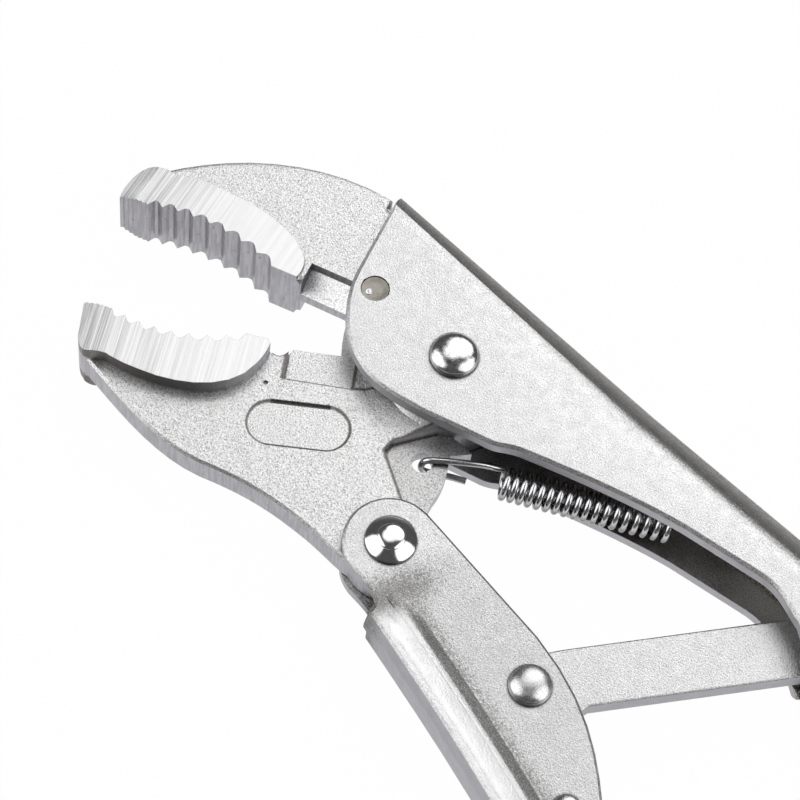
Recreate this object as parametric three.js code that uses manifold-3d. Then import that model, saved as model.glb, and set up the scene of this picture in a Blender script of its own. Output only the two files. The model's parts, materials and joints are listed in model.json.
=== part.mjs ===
// Curved-jaw locking pliers, 180 mm long, standing open and unlocked.
// Units are millimetres. The pliers lie on their side: +X runs from the jaws to the adjusting
// screw, +Y points to the back of the upper handle and +Z is the thickness. While the pieces are
// made, the main pivot is at x = 0, y = 0 and the middle of the thickness is z = 0. The finished
// group is moved so that its origin is the bottom centre of the whole tool.

import * as THREE from "three";
import { mergeVertices } from "three/addons/utils/BufferGeometryUtils.js";
import Module from "manifold-3d";

const wasm = await Module();
wasm.setup();

// ---------------------------------------------------------------- driving dimensions

// Clearances
const RUN = 0.05; // radial, round a rivet
const SIDE = 0.2; // between faces that slide past each other
const SEAT = 0.02; // under a rivet head and round a pressed pin

// Upper handle: sheet folded over its back, rolled into a tube at the rear
const HANDLE_WIDTH = 14.0;
const HANDLE_SHEET = 2.2;
const HANDLE_BACK = 15.2; // height of the back over the main pivot
const FOLD_RADIUS = 4.0; // of the folded back at the front; it grows to a half round
const FULL_ROUND = 25.0; // from here on the back is a half round
const HANDLE_FRONT = -23.8;
const ROLL_START = 57.0; // the side walls start to close into the tube
const TUBE_START = 72.0;
const TUBE_END = 106.0;
const THREAD_START = 80.0; // the tapped stretch of the tube
const SEAM_WIDTH = 0.7;

// Jaws
const TOOTH_FLANK_WIDTH = 10.4; // ground faces beside the teeth
const LOWER_WEB = 5.0; // forged web of the lower jaw
const HUB_RADIUS = 9.5;
const HUB_FLARE_RADIUS = 12.6;
const EAR_THICKNESS = 2.0;
const CUTTER_EDGE = 1.8;
const TOOTH_DEPTH = 0.9;
const TOOTH_COUNT = 8;
const TIP_TAPER = 1.2; // the ground faces fall away by this much towards the tips
const TIP_TAPER_RUN = 2.8;

// Lower handle
const LUG_SHEET = 2.0;
const LUG_RADIUS = 6.6;
const GRIP_WIDTH = 12.0;
const GRIP_OUTER_ROUND = 4.2;
const GRIP_EASE = 3.2; // the fold eases down to the walls over this length
const GRIP_DEPTH = 5.6;

// Pivots, seen along Z
const MAIN_PIVOT = new THREE.Vector2(0, 0);
const HANDLE_PIVOT = new THREE.Vector2(12.4, -26.1);
const LINK_PIVOT = new THREE.Vector2(40.0, -28.6);
const LEVER_PIVOT = new THREE.Vector2(54.9, -38.1);
const JAW_PIN = new THREE.Vector2(-15.2, 0.1);
const EAR_HOLE = new THREE.Vector2(6.4, -12.9);
const PROOF_MARK = new THREE.Vector2(-17.2, -19.8); // small punched dimple in the web
const SPRING_ANCHOR = new THREE.Vector2(44.0, 8.4);

// Rivets and pin
const MAIN_SHANK = 3.2;
const HANDLE_SHANK = 3.0;
const LINK_SHANK = 2.4;
const LEVER_SHANK = 1.5;
const JAW_PIN_RADIUS = 2.0;
const MAIN_HEAD = 3.5;
const HANDLE_HEAD = 3.6;
const HANDLE_DOME = 2.05; // the dome inside the conical rim of the handle rivet
const LINK_HEAD = 3.0;
const LEVER_HEAD = 2.05;

// Toggle link
const LINK_THICKNESS = 3.0;
const LINK_HALF_HEIGHT = 4.3;
const LINK_OFFSET = 1.5; // middle of the bar above the line through its eye
const LINK_EYE = 4.7;
const LINK_NOSE = 3.3;
const NOSE_GAP = 2.3; // room between the link and the screw tip

// Adjusting screw
const THREAD_RADIUS = 4.0;
const KNOB_RADIUS = 6.4;
const KNOB_LENGTH = 17.2;
const KNOB_GAP = 1.6;
const KNOB_FLUTES = 20;

// Return spring
const WIRE = 0.9;
const COIL_OUTSIDE = 5.0;
const COIL_TURNS = 18;
const COIL_START = 11.3; // from the ear hole, along the spring
const COIL_LIFT = 0.4; // the coil starts a little above the line between its holes
const COIL_LENGTH = 24.6;
const COIL_SPREAD = 0.12; // the turns open up by this share towards the anchor
const EAR_HOLE_RADIUS = 1.5;

// Release lever
const LEVER_SHEET = 1.2;
const LEVER_WIDTH = 4.8;

// ---------------------------------------------------------------- worked out from these

const handleInside = HANDLE_WIDTH / 2 - HANDLE_SHEET;
const jawHalf = handleInside - SIDE;
const webHalf = LOWER_WEB / 2;
const lugInside = webHalf + SIDE;
const lugHalf = lugInside + LUG_SHEET;
const tubeRadius = HANDLE_WIDTH / 2;
const tubeAxis = HANDLE_BACK - tubeRadius;
const linkNose = LINK_PIVOT.clone().add(new THREE.Vector2(26.1, 0));
linkNose.y = tubeAxis;

// ---------------------------------------------------------------- solids

// A closed three.js geometry as a solid that can be joined and cut.
function solidOf(geometry) {
  const plain = new THREE.BufferGeometry();
  plain.setAttribute("position", geometry.getAttribute("position").clone());
  if (geometry.index) plain.setIndex(geometry.index.clone());
  const merged = mergeVertices(plain, 1e-4);
  const kept = [];
  const index = merged.index.array;
  for (let i = 0; i < index.length; i += 3) {
    const [a, b, c] = [index[i], index[i + 1], index[i + 2]];
    if (a !== b && b !== c && c !== a) kept.push(a, b, c);
  }
  return new wasm.Manifold(
    new wasm.Mesh({
      numProp: 3,
      vertProperties: new Float32Array(merged.getAttribute("position").array),
      triVerts: new Uint32Array(kept),
    }),
  );
}

// A solid back as a three.js geometry.
function geometryOf(solid) {
  const mesh = solid.getMesh();
  const geometry = new THREE.BufferGeometry();
  geometry.setAttribute("position", new THREE.BufferAttribute(mesh.vertProperties.slice(), 3));
  geometry.setIndex(new THREE.BufferAttribute(mesh.triVerts.slice(), 1));
  geometry.computeVertexNormals();
  return geometry;
}

// A slab of an outline in the XY plane, from z = low to z = high, with bevelled rims.
function slab(shape, low, high, bevel = 0, bevelSegments = 1, curveSegments = 10) {
  const geometry = new THREE.ExtrudeGeometry(shape, {
    depth: high - low - 2 * bevel,
    curveSegments,
    bevelEnabled: bevel > 0,
    bevelThickness: bevel,
    bevelSize: bevel,
    bevelOffset: -bevel,
    bevelSegments,
  });
  geometry.translate(0, 0, low + bevel);
  return solidOf(geometry);
}

function roundShape(centre, radius) {
  return new THREE.Shape().absarc(centre.x, centre.y, radius, 0, 2 * Math.PI);
}

// A round bar or hole along Z.
function rod(centre, radius, low, high, segments = 20) {
  return slab(roundShape(centre, radius), low, high, 0, 1, segments);
}

// A body of revolution about Z through a point; the profile is a list of [radius, z].
function turned(centre, profile, segments = 36) {
  const points = profile.map(([radius, height]) => new THREE.Vector2(radius, height));
  const geometry = new THREE.LatheGeometry(points, segments);
  geometry.rotateX(Math.PI / 2);
  geometry.translate(centre.x, centre.y, 0);
  return geometry;
}

// A body of revolution about the X axis through (0, height).
function turnedAlongX(height, profile, segments = 36) {
  const points = profile.map(([radius, along]) => new THREE.Vector2(radius, along));
  const geometry = new THREE.LatheGeometry(points, segments);
  geometry.rotateZ(-Math.PI / 2);
  geometry.translate(0, height, 0);
  return geometry;
}

// A wedge or bar between two points in the XY plane. Its section is drawn in the plane across
// the line: x is to the left of the line, y is along Z.
function barAlong(from, to, section) {
  const shape = new THREE.Shape(section.map(([x, y]) => new THREE.Vector2(x, y)));
  const along = to.clone().sub(from);
  const geometry = new THREE.ExtrudeGeometry(shape, { depth: along.length(), bevelEnabled: false });
  const forward = new THREE.Vector3(along.x, along.y, 0).normalize();
  const up = new THREE.Vector3(0, 0, 1);
  const left = new THREE.Vector3().crossVectors(up, forward);
  geometry.applyMatrix4(new THREE.Matrix4().makeBasis(left, up, forward.clone()));
  geometry.translate(from.x, from.y, 0);
  return geometry;
}

// A rectangle with its own corner radius above and below, as a list of [height, z].
function roundedSection(top, bottom, half, topRadius, bottomRadius, steps = 5) {
  const corners = [
    [half - topRadius, top - topRadius, topRadius, 0],
    [-half + topRadius, top - topRadius, topRadius, 1],
    [-half + bottomRadius, bottom + bottomRadius, bottomRadius, 2],
    [half - bottomRadius, bottom + bottomRadius, bottomRadius, 3],
  ];
  return corners.flatMap(([z, height, radius, quarter]) => {
    const points = [];
    for (let i = 0; i <= steps; i++) {
      const angle = ((quarter + i / steps) * Math.PI) / 2;
      points.push([height + radius * Math.sin(angle), z + radius * Math.cos(angle)]);
    }
    return points;
  });
}

// A section stood on a point of the XY plane, its height along a direction in that plane.
function ring(section, point, up) {
  return section.map(
    ([height, z]) => new THREE.Vector3(point.x + height * up.x, point.y + height * up.y, z),
  );
}

// A skin over rings of equal length, closed by a flat cap at each end.
function loft(rings) {
  const count = rings[0].length;
  const positions = rings.flat().flatMap((point) => [point.x, point.y, point.z]);
  const index = [];
  for (let i = 0; i + 1 < rings.length; i++) {
    for (let j = 0; j < count; j++) {
      const a = i * count + j;
      const b = i * count + ((j + 1) % count);
      index.push(a, a + count, b, b, a + count, b + count);
    }
  }
  const last = (rings.length - 1) * count;
  for (let j = 1; j + 1 < count; j++) {
    index.push(0, j, j + 1);
    index.push(last, last + j + 1, last + j);
  }
  const geometry = new THREE.BufferGeometry();
  geometry.setAttribute("position", new THREE.Float32BufferAttribute(positions, 3));
  geometry.setIndex(index);
  return solidOf(geometry);
}

// ---------------------------------------------------------------- upper handle

// Side view of the folded sheet: slanted front, round nose under the main pivot, a long open
// edge that climbs towards the back, then the closed tube.
function handleSide() {
  const side = new THREE.Shape();
  const over = HANDLE_BACK + 1;
  side.moveTo(HANDLE_FRONT, over);
  side.lineTo(HANDLE_FRONT + 0.9, 12.5);
  side.lineTo(-19.2, 0.8);
  side.bezierCurveTo(-17.6, -4.2, -12.5, -10.5, -5.2, -10.7);
  side.bezierCurveTo(0.5, -10.6, 5, -8.6, 12.6, -6.5);
  side.bezierCurveTo(14.3, -5.9, 14.8, -4.9, 17.2, -4.1);
  side.quadraticCurveTo(31, 0.9, 40, 2.7);
  side.lineTo(51.5, 4.5);
  side.bezierCurveTo(55.5, 5.2, 57, 3.9, 60.5, 2.8);
  side.lineTo(TUBE_START - 6, -1);
  side.lineTo(TUBE_END, -1);
  side.lineTo(TUBE_END, over);
  return side;
}

// The skin that the sheet follows, or the room inside it when inset by the sheet.
function handleSkin(inset, from, to) {
  const half = HANDLE_WIDTH / 2 - inset;
  const top = HANDLE_BACK - inset;
  const round = tubeRadius - inset;
  const up = new THREE.Vector2(0, 1);
  const at = (x, bottom, above, below) =>
    ring(roundedSection(top, bottom, half, above, below), new THREE.Vector2(x, 0), up);
  const open = -15;
  const rings = [
    at(from, open, FOLD_RADIUS - inset, 1),
    at(HANDLE_FRONT, open, FOLD_RADIUS - inset, 1),
    at(FULL_ROUND, open, round, 1),
    at(ROLL_START, open, round, 1),
  ];
  const steps = 6;
  for (let i = 1; i <= steps; i++) {
    const share = i / steps;
    const ease = share * share * (3 - 2 * share);
    const bottom = THREE.MathUtils.lerp(-6, tubeAxis - round, ease);
    const x = THREE.MathUtils.lerp(ROLL_START, TUBE_START, share);
    rings.push(at(x, bottom, round, THREE.MathUtils.lerp(1, round, ease)));
  }
  rings.push(at(to, tubeAxis - round, round, round));
  return loft(rings);
}

// The open underside of the rolled stretch, where the toggle link passes, and the seam behind.
function handleSlot() {
  const slot = new THREE.Shape();
  slot.moveTo(ROLL_START - 4, -handleInside);
  slot.lineTo(ROLL_START + 3, -handleInside);
  slot.quadraticCurveTo(TUBE_START - 4, -3.4, TUBE_START, -2.4);
  slot.absarc(TUBE_START, 0, 2.4, -Math.PI / 2, Math.PI / 2);
  slot.quadraticCurveTo(TUBE_START - 4, 3.4, ROLL_START + 3, handleInside);
  slot.lineTo(ROLL_START - 4, handleInside);
  const seam = new THREE.Shape();
  seam.moveTo(TUBE_START, -SEAM_WIDTH / 2);
  seam.lineTo(TUBE_END + 1, -SEAM_WIDTH / 2);
  seam.lineTo(TUBE_END + 1, SEAM_WIDTH / 2);
  seam.lineTo(TUBE_START, SEAM_WIDTH / 2);
  return [slot, seam].map((shape) => {
    const geometry = new THREE.ExtrudeGeometry(shape, { depth: 20, bevelEnabled: false });
    geometry.rotateX(Math.PI / 2);
    geometry.translate(0, tubeAxis - 1, 0);
    return solidOf(geometry);
  });
}

function upperHandle() {
  const outer = handleSkin(0, HANDLE_FRONT - 2, TUBE_END + 1);
  const half = HANDLE_WIDTH / 2;
  let body = slab(handleSide(), -half, half, 0.45, 1, 12).intersect(outer);
  body = body.subtract(handleSkin(HANDLE_SHEET, HANDLE_FRONT - 3, THREAD_START));
  const bore = THREAD_RADIUS + RUN;
  const end = TUBE_END + 1;
  const thread = [[0, THREAD_START - 1], [bore, THREAD_START - 1], [bore, end], [0, end]];
  body = body.subtract(solidOf(turnedAlongX(tubeAxis, thread)));
  for (const cut of handleSlot()) body = body.subtract(cut);
  body = body.subtract(rod(MAIN_PIVOT, MAIN_SHANK + SEAT, -half - 1, half + 1));
  body = body.subtract(rod(JAW_PIN, JAW_PIN_RADIUS + SEAT, -half - 1, half + 1));
  return body;
}

// ---------------------------------------------------------------- teeth

// Tooth tips along an arc. The first tip is at the angle start, and each pitch is a little longer
// than the one before.
function toothTips(arc) {
  const tips = [];
  let angle = arc.start;
  let pitch = arc.pitch;
  for (let i = 0; i <= TOOTH_COUNT; i++) {
    tips.push(angle);
    angle += (arc.turn * pitch) / arc.radius;
    pitch += arc.growth;
  }
  return tips;
}

// The profile of the bite: fine serrations on the flat at the tip, then round-bottomed teeth
// with sharp crests along the arc, up to the heel. inward is +1 where the jaw's metal is outside
// the arc's circle and -1 where it is inside.
function biteProfile(shape, arc, inward) {
  const on = (angle, depth = 0) => {
    const reach = arc.radius + inward * depth;
    return [arc.centre.x + reach * Math.cos(angle), arc.centre.y + reach * Math.sin(angle)];
  };
  const tips = toothTips(arc);
  const first = new THREE.Vector2(...on(tips[0]));
  const fine = 6;
  shape.moveTo(arc.corner.x, arc.corner.y);
  for (let i = 1; i <= fine; i++) {
    const at = (share) => arc.corner.clone().lerp(first, share);
    const across = first.clone().sub(arc.corner).normalize();
    const normal = new THREE.Vector2(-across.y, across.x).multiplyScalar(arc.metalSide);
    const valley = at((i - 0.5) / fine).add(normal.multiplyScalar(0.16));
    shape.lineTo(valley.x, valley.y);
    shape.lineTo(at(i / fine).x, at(i / fine).y);
  }
  for (let i = 0; i < TOOTH_COUNT; i++) {
    const step = tips[i + 1] - tips[i];
    const near = on(tips[i] + 0.34 * step, TOOTH_DEPTH * 0.82);
    const mid = on(tips[i] + 0.5 * step, TOOTH_DEPTH * 1.12);
    const far = on(tips[i] + 0.66 * step, TOOTH_DEPTH * 0.82);
    shape.lineTo(...near);
    shape.quadraticCurveTo(...mid, ...far);
    shape.lineTo(...on(tips[i + 1]));
  }
}

const UPPER_BITE = {
  centre: new THREE.Vector2(-30.9, -37.4),
  radius: 30.6,
  start: THREE.MathUtils.degToRad(124.4),
  turn: -1,
  pitch: 2.15,
  growth: 0.12,
  corner: new THREE.Vector2(-52.3, -13.6),
  metalSide: 1,
};

const LOWER_BITE = {
  centre: new THREE.Vector2(-45.2, -1.5),
  radius: 26.7,
  start: THREE.MathUtils.degToRad(-78.0),
  turn: 1,
  pitch: 2.1,
  growth: 0.1,
  corner: new THREE.Vector2(-43.7, -29.4),
  metalSide: -1,
};

// The room below the upper teeth, cut out of the upper jaw.
function upperMouth() {
  const mouth = new THREE.Shape();
  biteProfile(mouth, UPPER_BITE, 1);
  mouth.lineTo(-25.0, -5.6);
  mouth.lineTo(-24.4, -5.5);
  mouth.lineTo(-23.6, -12);
  mouth.lineTo(-30, -24);
  mouth.lineTo(-56, -24);
  return mouth;
}

// The room above the lower teeth, cut out of the lower jaw.
function lowerMouth() {
  const mouth = new THREE.Shape();
  biteProfile(mouth, LOWER_BITE, 1);
  mouth.lineTo(-20.9, -15.7);
  mouth.lineTo(-19.9, -15.9);
  mouth.lineTo(-19.3, -8);
  mouth.lineTo(-48, -10);
  return mouth;
}

// ---------------------------------------------------------------- upper jaw

function upperJawSide() {
  const side = new THREE.Shape();
  side.moveTo(-52.3, -13.8);
  side.bezierCurveTo(-53.4, -11.4, -54.2, -7.6, -51.2, -6.4);
  side.bezierCurveTo(-46.4, 2.6, -37, 11.9, -24.4, 14.0);
  side.lineTo(-18.8, 0);
  side.lineTo(-17.6, -3.3);
  side.lineTo(-24.3, -5.4);
  side.lineTo(-28.5, -9);
  side.lineTo(-46, -15);
  return side;
}

// The shank of the upper jaw inside the folded handle, hollowed round the hub of the lower jaw.
function tangSide() {
  const tang = new THREE.Shape();
  const reach = HUB_RADIUS + 0.5;
  const end = -5.5;
  tang.moveTo(-30, HANDLE_BACK);
  tang.lineTo(-30, 0);
  tang.lineTo(-18.0, -3.4);
  tang.lineTo(-reach * Math.cos(0.14), -reach * Math.sin(0.14));
  tang.absarc(0, 0, reach, Math.PI + 0.14, Math.PI - Math.acos(-end / reach), true);
  tang.lineTo(end, HANDLE_BACK);
  return tang;
}

// The ground band beside the upper teeth, a little proud of the forged body.
function upperFlank() {
  const flank = new THREE.Shape();
  flank.moveTo(-52.3, -13.8);
  flank.bezierCurveTo(-53.4, -11.4, -54.2, -7.6, -51.2, -6.4);
  flank.lineTo(-50.5, -5.9);
  flank.bezierCurveTo(-48.4, -6.0, -47.6, -4.6, -45.8, -3.9);
  flank.bezierCurveTo(-41.0, -2.0, -33.0, 0.6, -27.2, -2.1);
  flank.quadraticCurveTo(-25.0, -3.2, -25.0, -5.8);
  flank.lineTo(-28.5, -9);
  flank.lineTo(-46, -15);
  return flank;
}

// One side of a wire cutter: a step down from the forged face, then a slope to the edge.
function cutterCut(from, to, depth, face, step, side) {
  const edge = CUTTER_EDGE / 2;
  const section = [
    [0, side * (face + 1)],
    [0, side * (face - step)],
    [-depth, side * edge],
    [-depth - 2, side * edge],
    [-depth - 2, side * (face + 1)],
  ];
  if (side < 0) section.reverse();
  return solidOf(barAlong(from, to, section));
}

// The wedge ground off one face of a jaw, to the right of a line, where the tip gets thinner.
function tipTaper(from, to, face, side) {
  const section = [
    [0, side * (face + 1)],
    [0, side * face],
    [-TIP_TAPER_RUN, side * (face - TIP_TAPER)],
    [-TIP_TAPER_RUN, side * (face + 1)],
  ];
  if (side < 0) section.reverse();
  return solidOf(barAlong(from, to, section));
}

function upperJaw() {
  const flankHalf = TOOTH_FLANK_WIDTH / 2;
  const skin = handleSkin(HANDLE_SHEET + SIDE, HANDLE_FRONT - 3, TUBE_START);
  let body = slab(upperJawSide(), -jawHalf, jawHalf, 1.0, 2, 10);
  body = body.add(slab(tangSide(), -jawHalf, jawHalf, 0, 1, 12).intersect(skin));
  body = body.add(slab(upperFlank(), -flankHalf, flankHalf, 0, 1, 10));
  body = body.subtract(slab(upperMouth(), -flankHalf - 1, flankHalf + 1, 0, 1, 4));
  const from = new THREE.Vector2(-25.2, -2.2);
  const to = new THREE.Vector2(-9.3, 2.95);
  const taperFrom = new THREE.Vector2(-52.4, -4.7);
  const taperTo = new THREE.Vector2(-49.0, -15.9);
  for (const side of [-1, 1]) {
    body = body.subtract(cutterCut(from, to, 3.2, jawHalf, 1.7, side));
    body = body.subtract(tipTaper(taperFrom, taperTo, flankHalf, side));
  }
  return body.subtract(rod(JAW_PIN, JAW_PIN_RADIUS + SEAT, -jawHalf - 1, jawHalf + 1));
}

// The pin that holds the upper jaw, sunk below the handle's faces, with a centre nib.
function upperJawPin() {
  const sunk = HANDLE_WIDTH / 2 - 0.6;
  const profile = [
    [0, -sunk],
    [JAW_PIN_RADIUS, -sunk],
    [JAW_PIN_RADIUS, sunk],
    [0.75, sunk - 0.15],
    [0.55, sunk + 0.3],
    [0, sunk + 0.4],
  ];
  return turned(JAW_PIN, profile, 24);
}

// ---------------------------------------------------------------- lower jaw

function lowerJawSide() {
  const side = new THREE.Shape();
  side.moveTo(-43.6, -29.2);
  side.lineTo(-40.2, -33.8);
  side.quadraticCurveTo(-39.0, -34.8, -37.3, -34.9);
  side.bezierCurveTo(-31, -35.7, -22, -37.4, -15, -35.1);
  side.bezierCurveTo(-9, -32.9, -5, -32.0, 2, -31.7);
  side.bezierCurveTo(6, -31.6, 7.6, -32.0, 10.2, -31.7);
  side.absarc(HANDLE_PIVOT.x, HANDLE_PIVOT.y, 6.0, -1.94, 0.95, false);
  side.bezierCurveTo(12.4, -19.4, 11.8, -18.0, 11.4, -15.5);
  side.bezierCurveTo(10.9, -12.6, 9.4, -10.4, 6.2, -6.6);
  side.lineTo(-7.0, -4.0);
  side.lineTo(-18.6, -12.6);
  side.quadraticCurveTo(-18.2, -15.3, -19.6, -15.5);
  side.lineTo(-25, -15.4);
  side.lineTo(-32, -22);
  side.lineTo(-41, -26);
  return side;
}

function lowerFlank() {
  const flank = new THREE.Shape();
  flank.moveTo(-43.6, -29.2);
  flank.lineTo(-40.2, -33.8);
  flank.quadraticCurveTo(-39.0, -34.9, -38.0, -34.9);
  flank.bezierCurveTo(-36.6, -34.6, -36.4, -33.5, -34.6, -33.2);
  flank.bezierCurveTo(-28.5, -32.0, -18.4, -27.2, -19.3, -19.4);
  flank.quadraticCurveTo(-19.5, -17.0, -20.4, -15.4);
  flank.lineTo(-25, -15.4);
  flank.lineTo(-32, -22);
  flank.lineTo(-41, -26);
  return flank;
}

// The flare from the web up to the hub. It only shows below the pivot: above it the shank of the
// upper jaw needs the room.
function hubFlare() {
  const profile = [
    [0, -jawHalf],
    [HUB_RADIUS, -jawHalf],
    [HUB_FLARE_RADIUS, -webHalf],
    [HUB_FLARE_RADIUS, webHalf],
    [HUB_RADIUS, jawHalf],
    [0, jawHalf],
  ];
  const flare = solidOf(turned(MAIN_PIVOT, profile, 48));
  const room = new THREE.Shape();
  room.moveTo(-16, -16);
  room.lineTo(-8.0, -6.9);
  room.lineTo(12, -7);
  room.lineTo(14, -1);
  room.lineTo(14, 14);
  room.lineTo(-16, 14);
  return flare.subtract(slab(room, -jawHalf - 1, jawHalf + 1));
}

// A long round-ended pocket, its floor bare, with sloping walls.
function ovalPocket() {
  const long = 3.8;
  const radius = 3.15;
  const oval = new THREE.Shape();
  oval.absarc(-long, 0, radius, Math.PI / 2, -Math.PI / 2, false);
  oval.absarc(long, 0, radius, -Math.PI / 2, Math.PI / 2, false);
  const geometry = new THREE.ExtrudeGeometry(oval, {
    depth: 1,
    curveSegments: 10,
    bevelEnabled: true,
    bevelThickness: 0.5,
    bevelSize: 0.5,
    bevelSegments: 1,
  });
  geometry.rotateZ(THREE.MathUtils.degToRad(37.5));
  geometry.translate(-9.35, -21.4, webHalf);
  return solidOf(geometry);
}

// The thin ear round the spring hole, sunk into both faces of the web.
function earPocket() {
  const ear = new THREE.Shape();
  ear.moveTo(1.9, -15.7);
  ear.quadraticCurveTo(0.9, -14.9, 1.6, -13.8);
  ear.lineTo(5.2, -7.6);
  ear.lineTo(8.2, -4.0);
  ear.lineTo(16, -8);
  ear.lineTo(15.6, -18.6);
  ear.lineTo(8.8, -19.6);
  return ear;
}

function lowerJaw() {
  const flankHalf = TOOTH_FLANK_WIDTH / 2;
  let body = slab(lowerJawSide(), -webHalf, webHalf, 0.4, 1, 9).add(hubFlare());
  body = body.add(slab(lowerFlank(), -flankHalf, flankHalf, 0, 1, 9));
  body = body.subtract(slab(lowerMouth(), -flankHalf - 1, flankHalf + 1, 0, 1, 4));
  const from = new THREE.Vector2(-7.9, -11.9);
  const to = new THREE.Vector2(-15.9, -17.5);
  const taperFrom = new THREE.Vector2(-43.2, -26.2);
  const taperTo = new THREE.Vector2(-35.4, -36.5);
  for (const side of [-1, 1]) {
    body = body.subtract(cutterCut(from, to, 5.2, webHalf, 0.7, side));
    body = body.subtract(tipTaper(taperFrom, taperTo, flankHalf, side));
    const outside = jawHalf + 1;
    const pocket = side > 0 ? [EAR_THICKNESS / 2, outside] : [-outside, -EAR_THICKNESS / 2];
    body = body.subtract(slab(earPocket(), ...pocket, 0, 1, 6));
  }
  body = body.subtract(ovalPocket());
  body = body.add(rod(MAIN_PIVOT, HUB_RADIUS, -jawHalf, jawHalf, 24));
  body = body.subtract(rod(EAR_HOLE, EAR_HOLE_RADIUS, -webHalf - 1, webHalf + 1, 8));
  body = body.subtract(rod(PROOF_MARK, 0.35, webHalf - 0.4, webHalf + 1, 5));
  body = body.subtract(rod(HANDLE_PIVOT, HANDLE_SHANK + RUN, -webHalf - 1, webHalf + 1));
  return body.subtract(rod(MAIN_PIVOT, MAIN_SHANK + RUN, -jawHalf - 1, jawHalf + 1));
}

// ---------------------------------------------------------------- lower handle

// The back edge of the grip, from the front corner to the flared rear end.
function gripEdge() {
  return new THREE.CubicBezierCurve(
    new THREE.Vector2(16.6, -36.0),
    new THREE.Vector2(42.0, -42.4),
    new THREE.Vector2(72.0, -50.5),
    new THREE.Vector2(99.0, -69.0),
  );
}

// Points of the grip's edge moved into the grip by an amount.
function gripOffset(amount, steps = 12) {
  const edge = gripEdge();
  const points = [];
  for (let i = 0; i <= steps; i++) {
    const inward = gripInward(edge, i / steps);
    points.push(edge.getPoint(i / steps).addScaledVector(inward, amount));
  }
  return points;
}

function gripInward(edge, share) {
  const along = edge.getTangent(share);
  return new THREE.Vector2(-along.y, along.x);
}

// A bar that follows the grip's edge. sectionAt gives its section at each share of the edge.
function gripBar(sectionAt, from, to, steps = 14) {
  const edge = gripEdge();
  const rings = [];
  for (let i = 0; i <= steps; i++) {
    const share = THREE.MathUtils.lerp(from, to, (i / steps) ** 1.4);
    rings.push(ring(sectionAt(share), edge.getPoint(share), gripInward(edge, share)));
  }
  return loft(rings);
}

// The section of the grip's fold: round on the outside, easing down to the walls on the inside.
function foldSection(half) {
  const steps = 4;
  const inner = [];
  for (let i = 0; i <= steps; i++) {
    const ease = (1 + Math.cos((i / steps) * Math.PI)) / 2;
    const height = GRIP_DEPTH + GRIP_EASE * (i / steps - 0.65);
    inner.push([height, THREE.MathUtils.lerp(lugHalf - 0.1, half, ease)]);
  }
  const across = inner.map(([height, z]) => [height, -z]).reverse();
  const outer = roundedSection(GRIP_DEPTH, 0, half, 1, GRIP_OUTER_ROUND, 3).slice(8);
  return [...inner, ...across, ...outer];
}

// Half the width of the fold, which swells from the walls' thickness at the front.
function foldHalf(share) {
  return THREE.MathUtils.lerp(lugHalf, GRIP_WIDTH / 2, THREE.MathUtils.smoothstep(share, 0, 0.07));
}

// Side view of the two walls: a round lug at the jaw, a hump over the link rivet, a long grip.
function lowerHandleSide() {
  const side = new THREE.Shape();
  const lug = HANDLE_PIVOT;
  side.moveTo(lug.x, lug.y - LUG_RADIUS);
  side.bezierCurveTo(15.2, -33.0, 17.2, -33.0, 17.5, -35.8);
  for (const point of gripOffset(0.4).slice(1)) side.lineTo(point.x, point.y);
  side.bezierCurveTo(102.6, -71.2, 106.4, -64.4, 103.0, -61.6);
  side.bezierCurveTo(91, -52.6, 80, -47.4, 68.0, -42.4);
  side.bezierCurveTo(58, -37.2, 54.5, -26.0, 36.0, -22.5);
  side.lineTo(lug.x + 0.7, lug.y + LUG_RADIUS);
  side.absarc(lug.x, lug.y, LUG_RADIUS, 1.465, Math.PI * 1.5, false);
  return side;
}

// The room between the walls. It is open towards the upper handle, at the lug and at the rear.
function lowerHandleRoom() {
  const room = new THREE.Shape();
  const wall = gripOffset(LUG_SHEET);
  room.moveTo(-5, -45);
  room.lineTo(wall[0].x, -45);
  for (const point of wall) room.lineTo(point.x, point.y);
  room.lineTo(112, -78);
  room.lineTo(116, -58);
  room.lineTo(60, -15);
  room.lineTo(-5, -15);
  return room;
}

function lowerHandle() {
  const walls = slab(lowerHandleSide(), -lugHalf, lugHalf, 0.4, 1, 10);
  const fold = gripBar((share) => foldSection(foldHalf(share)), 0, 0.985);
  let body = walls.add(fold).subtract(slab(lowerHandleRoom(), -lugInside, lugInside));
  const inside = GRIP_WIDTH / 2 - LUG_SHEET;
  const hollow = roundedSection(GRIP_DEPTH - 0.6, LUG_SHEET, inside, 0.8, 2.2, 3);
  body = body.subtract(gripBar(() => hollow, 0.05, 1));
  const holes = [
    [HANDLE_PIVOT, HANDLE_SHANK],
    [LINK_PIVOT, LINK_SHANK],
    [LEVER_PIVOT, LEVER_SHANK],
  ];
  for (const [centre, radius] of holes) {
    body = body.subtract(rod(centre, radius + SEAT, -lugHalf - 2, lugHalf + 2));
  }
  return body;
}

// ---------------------------------------------------------------- rivets

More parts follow.
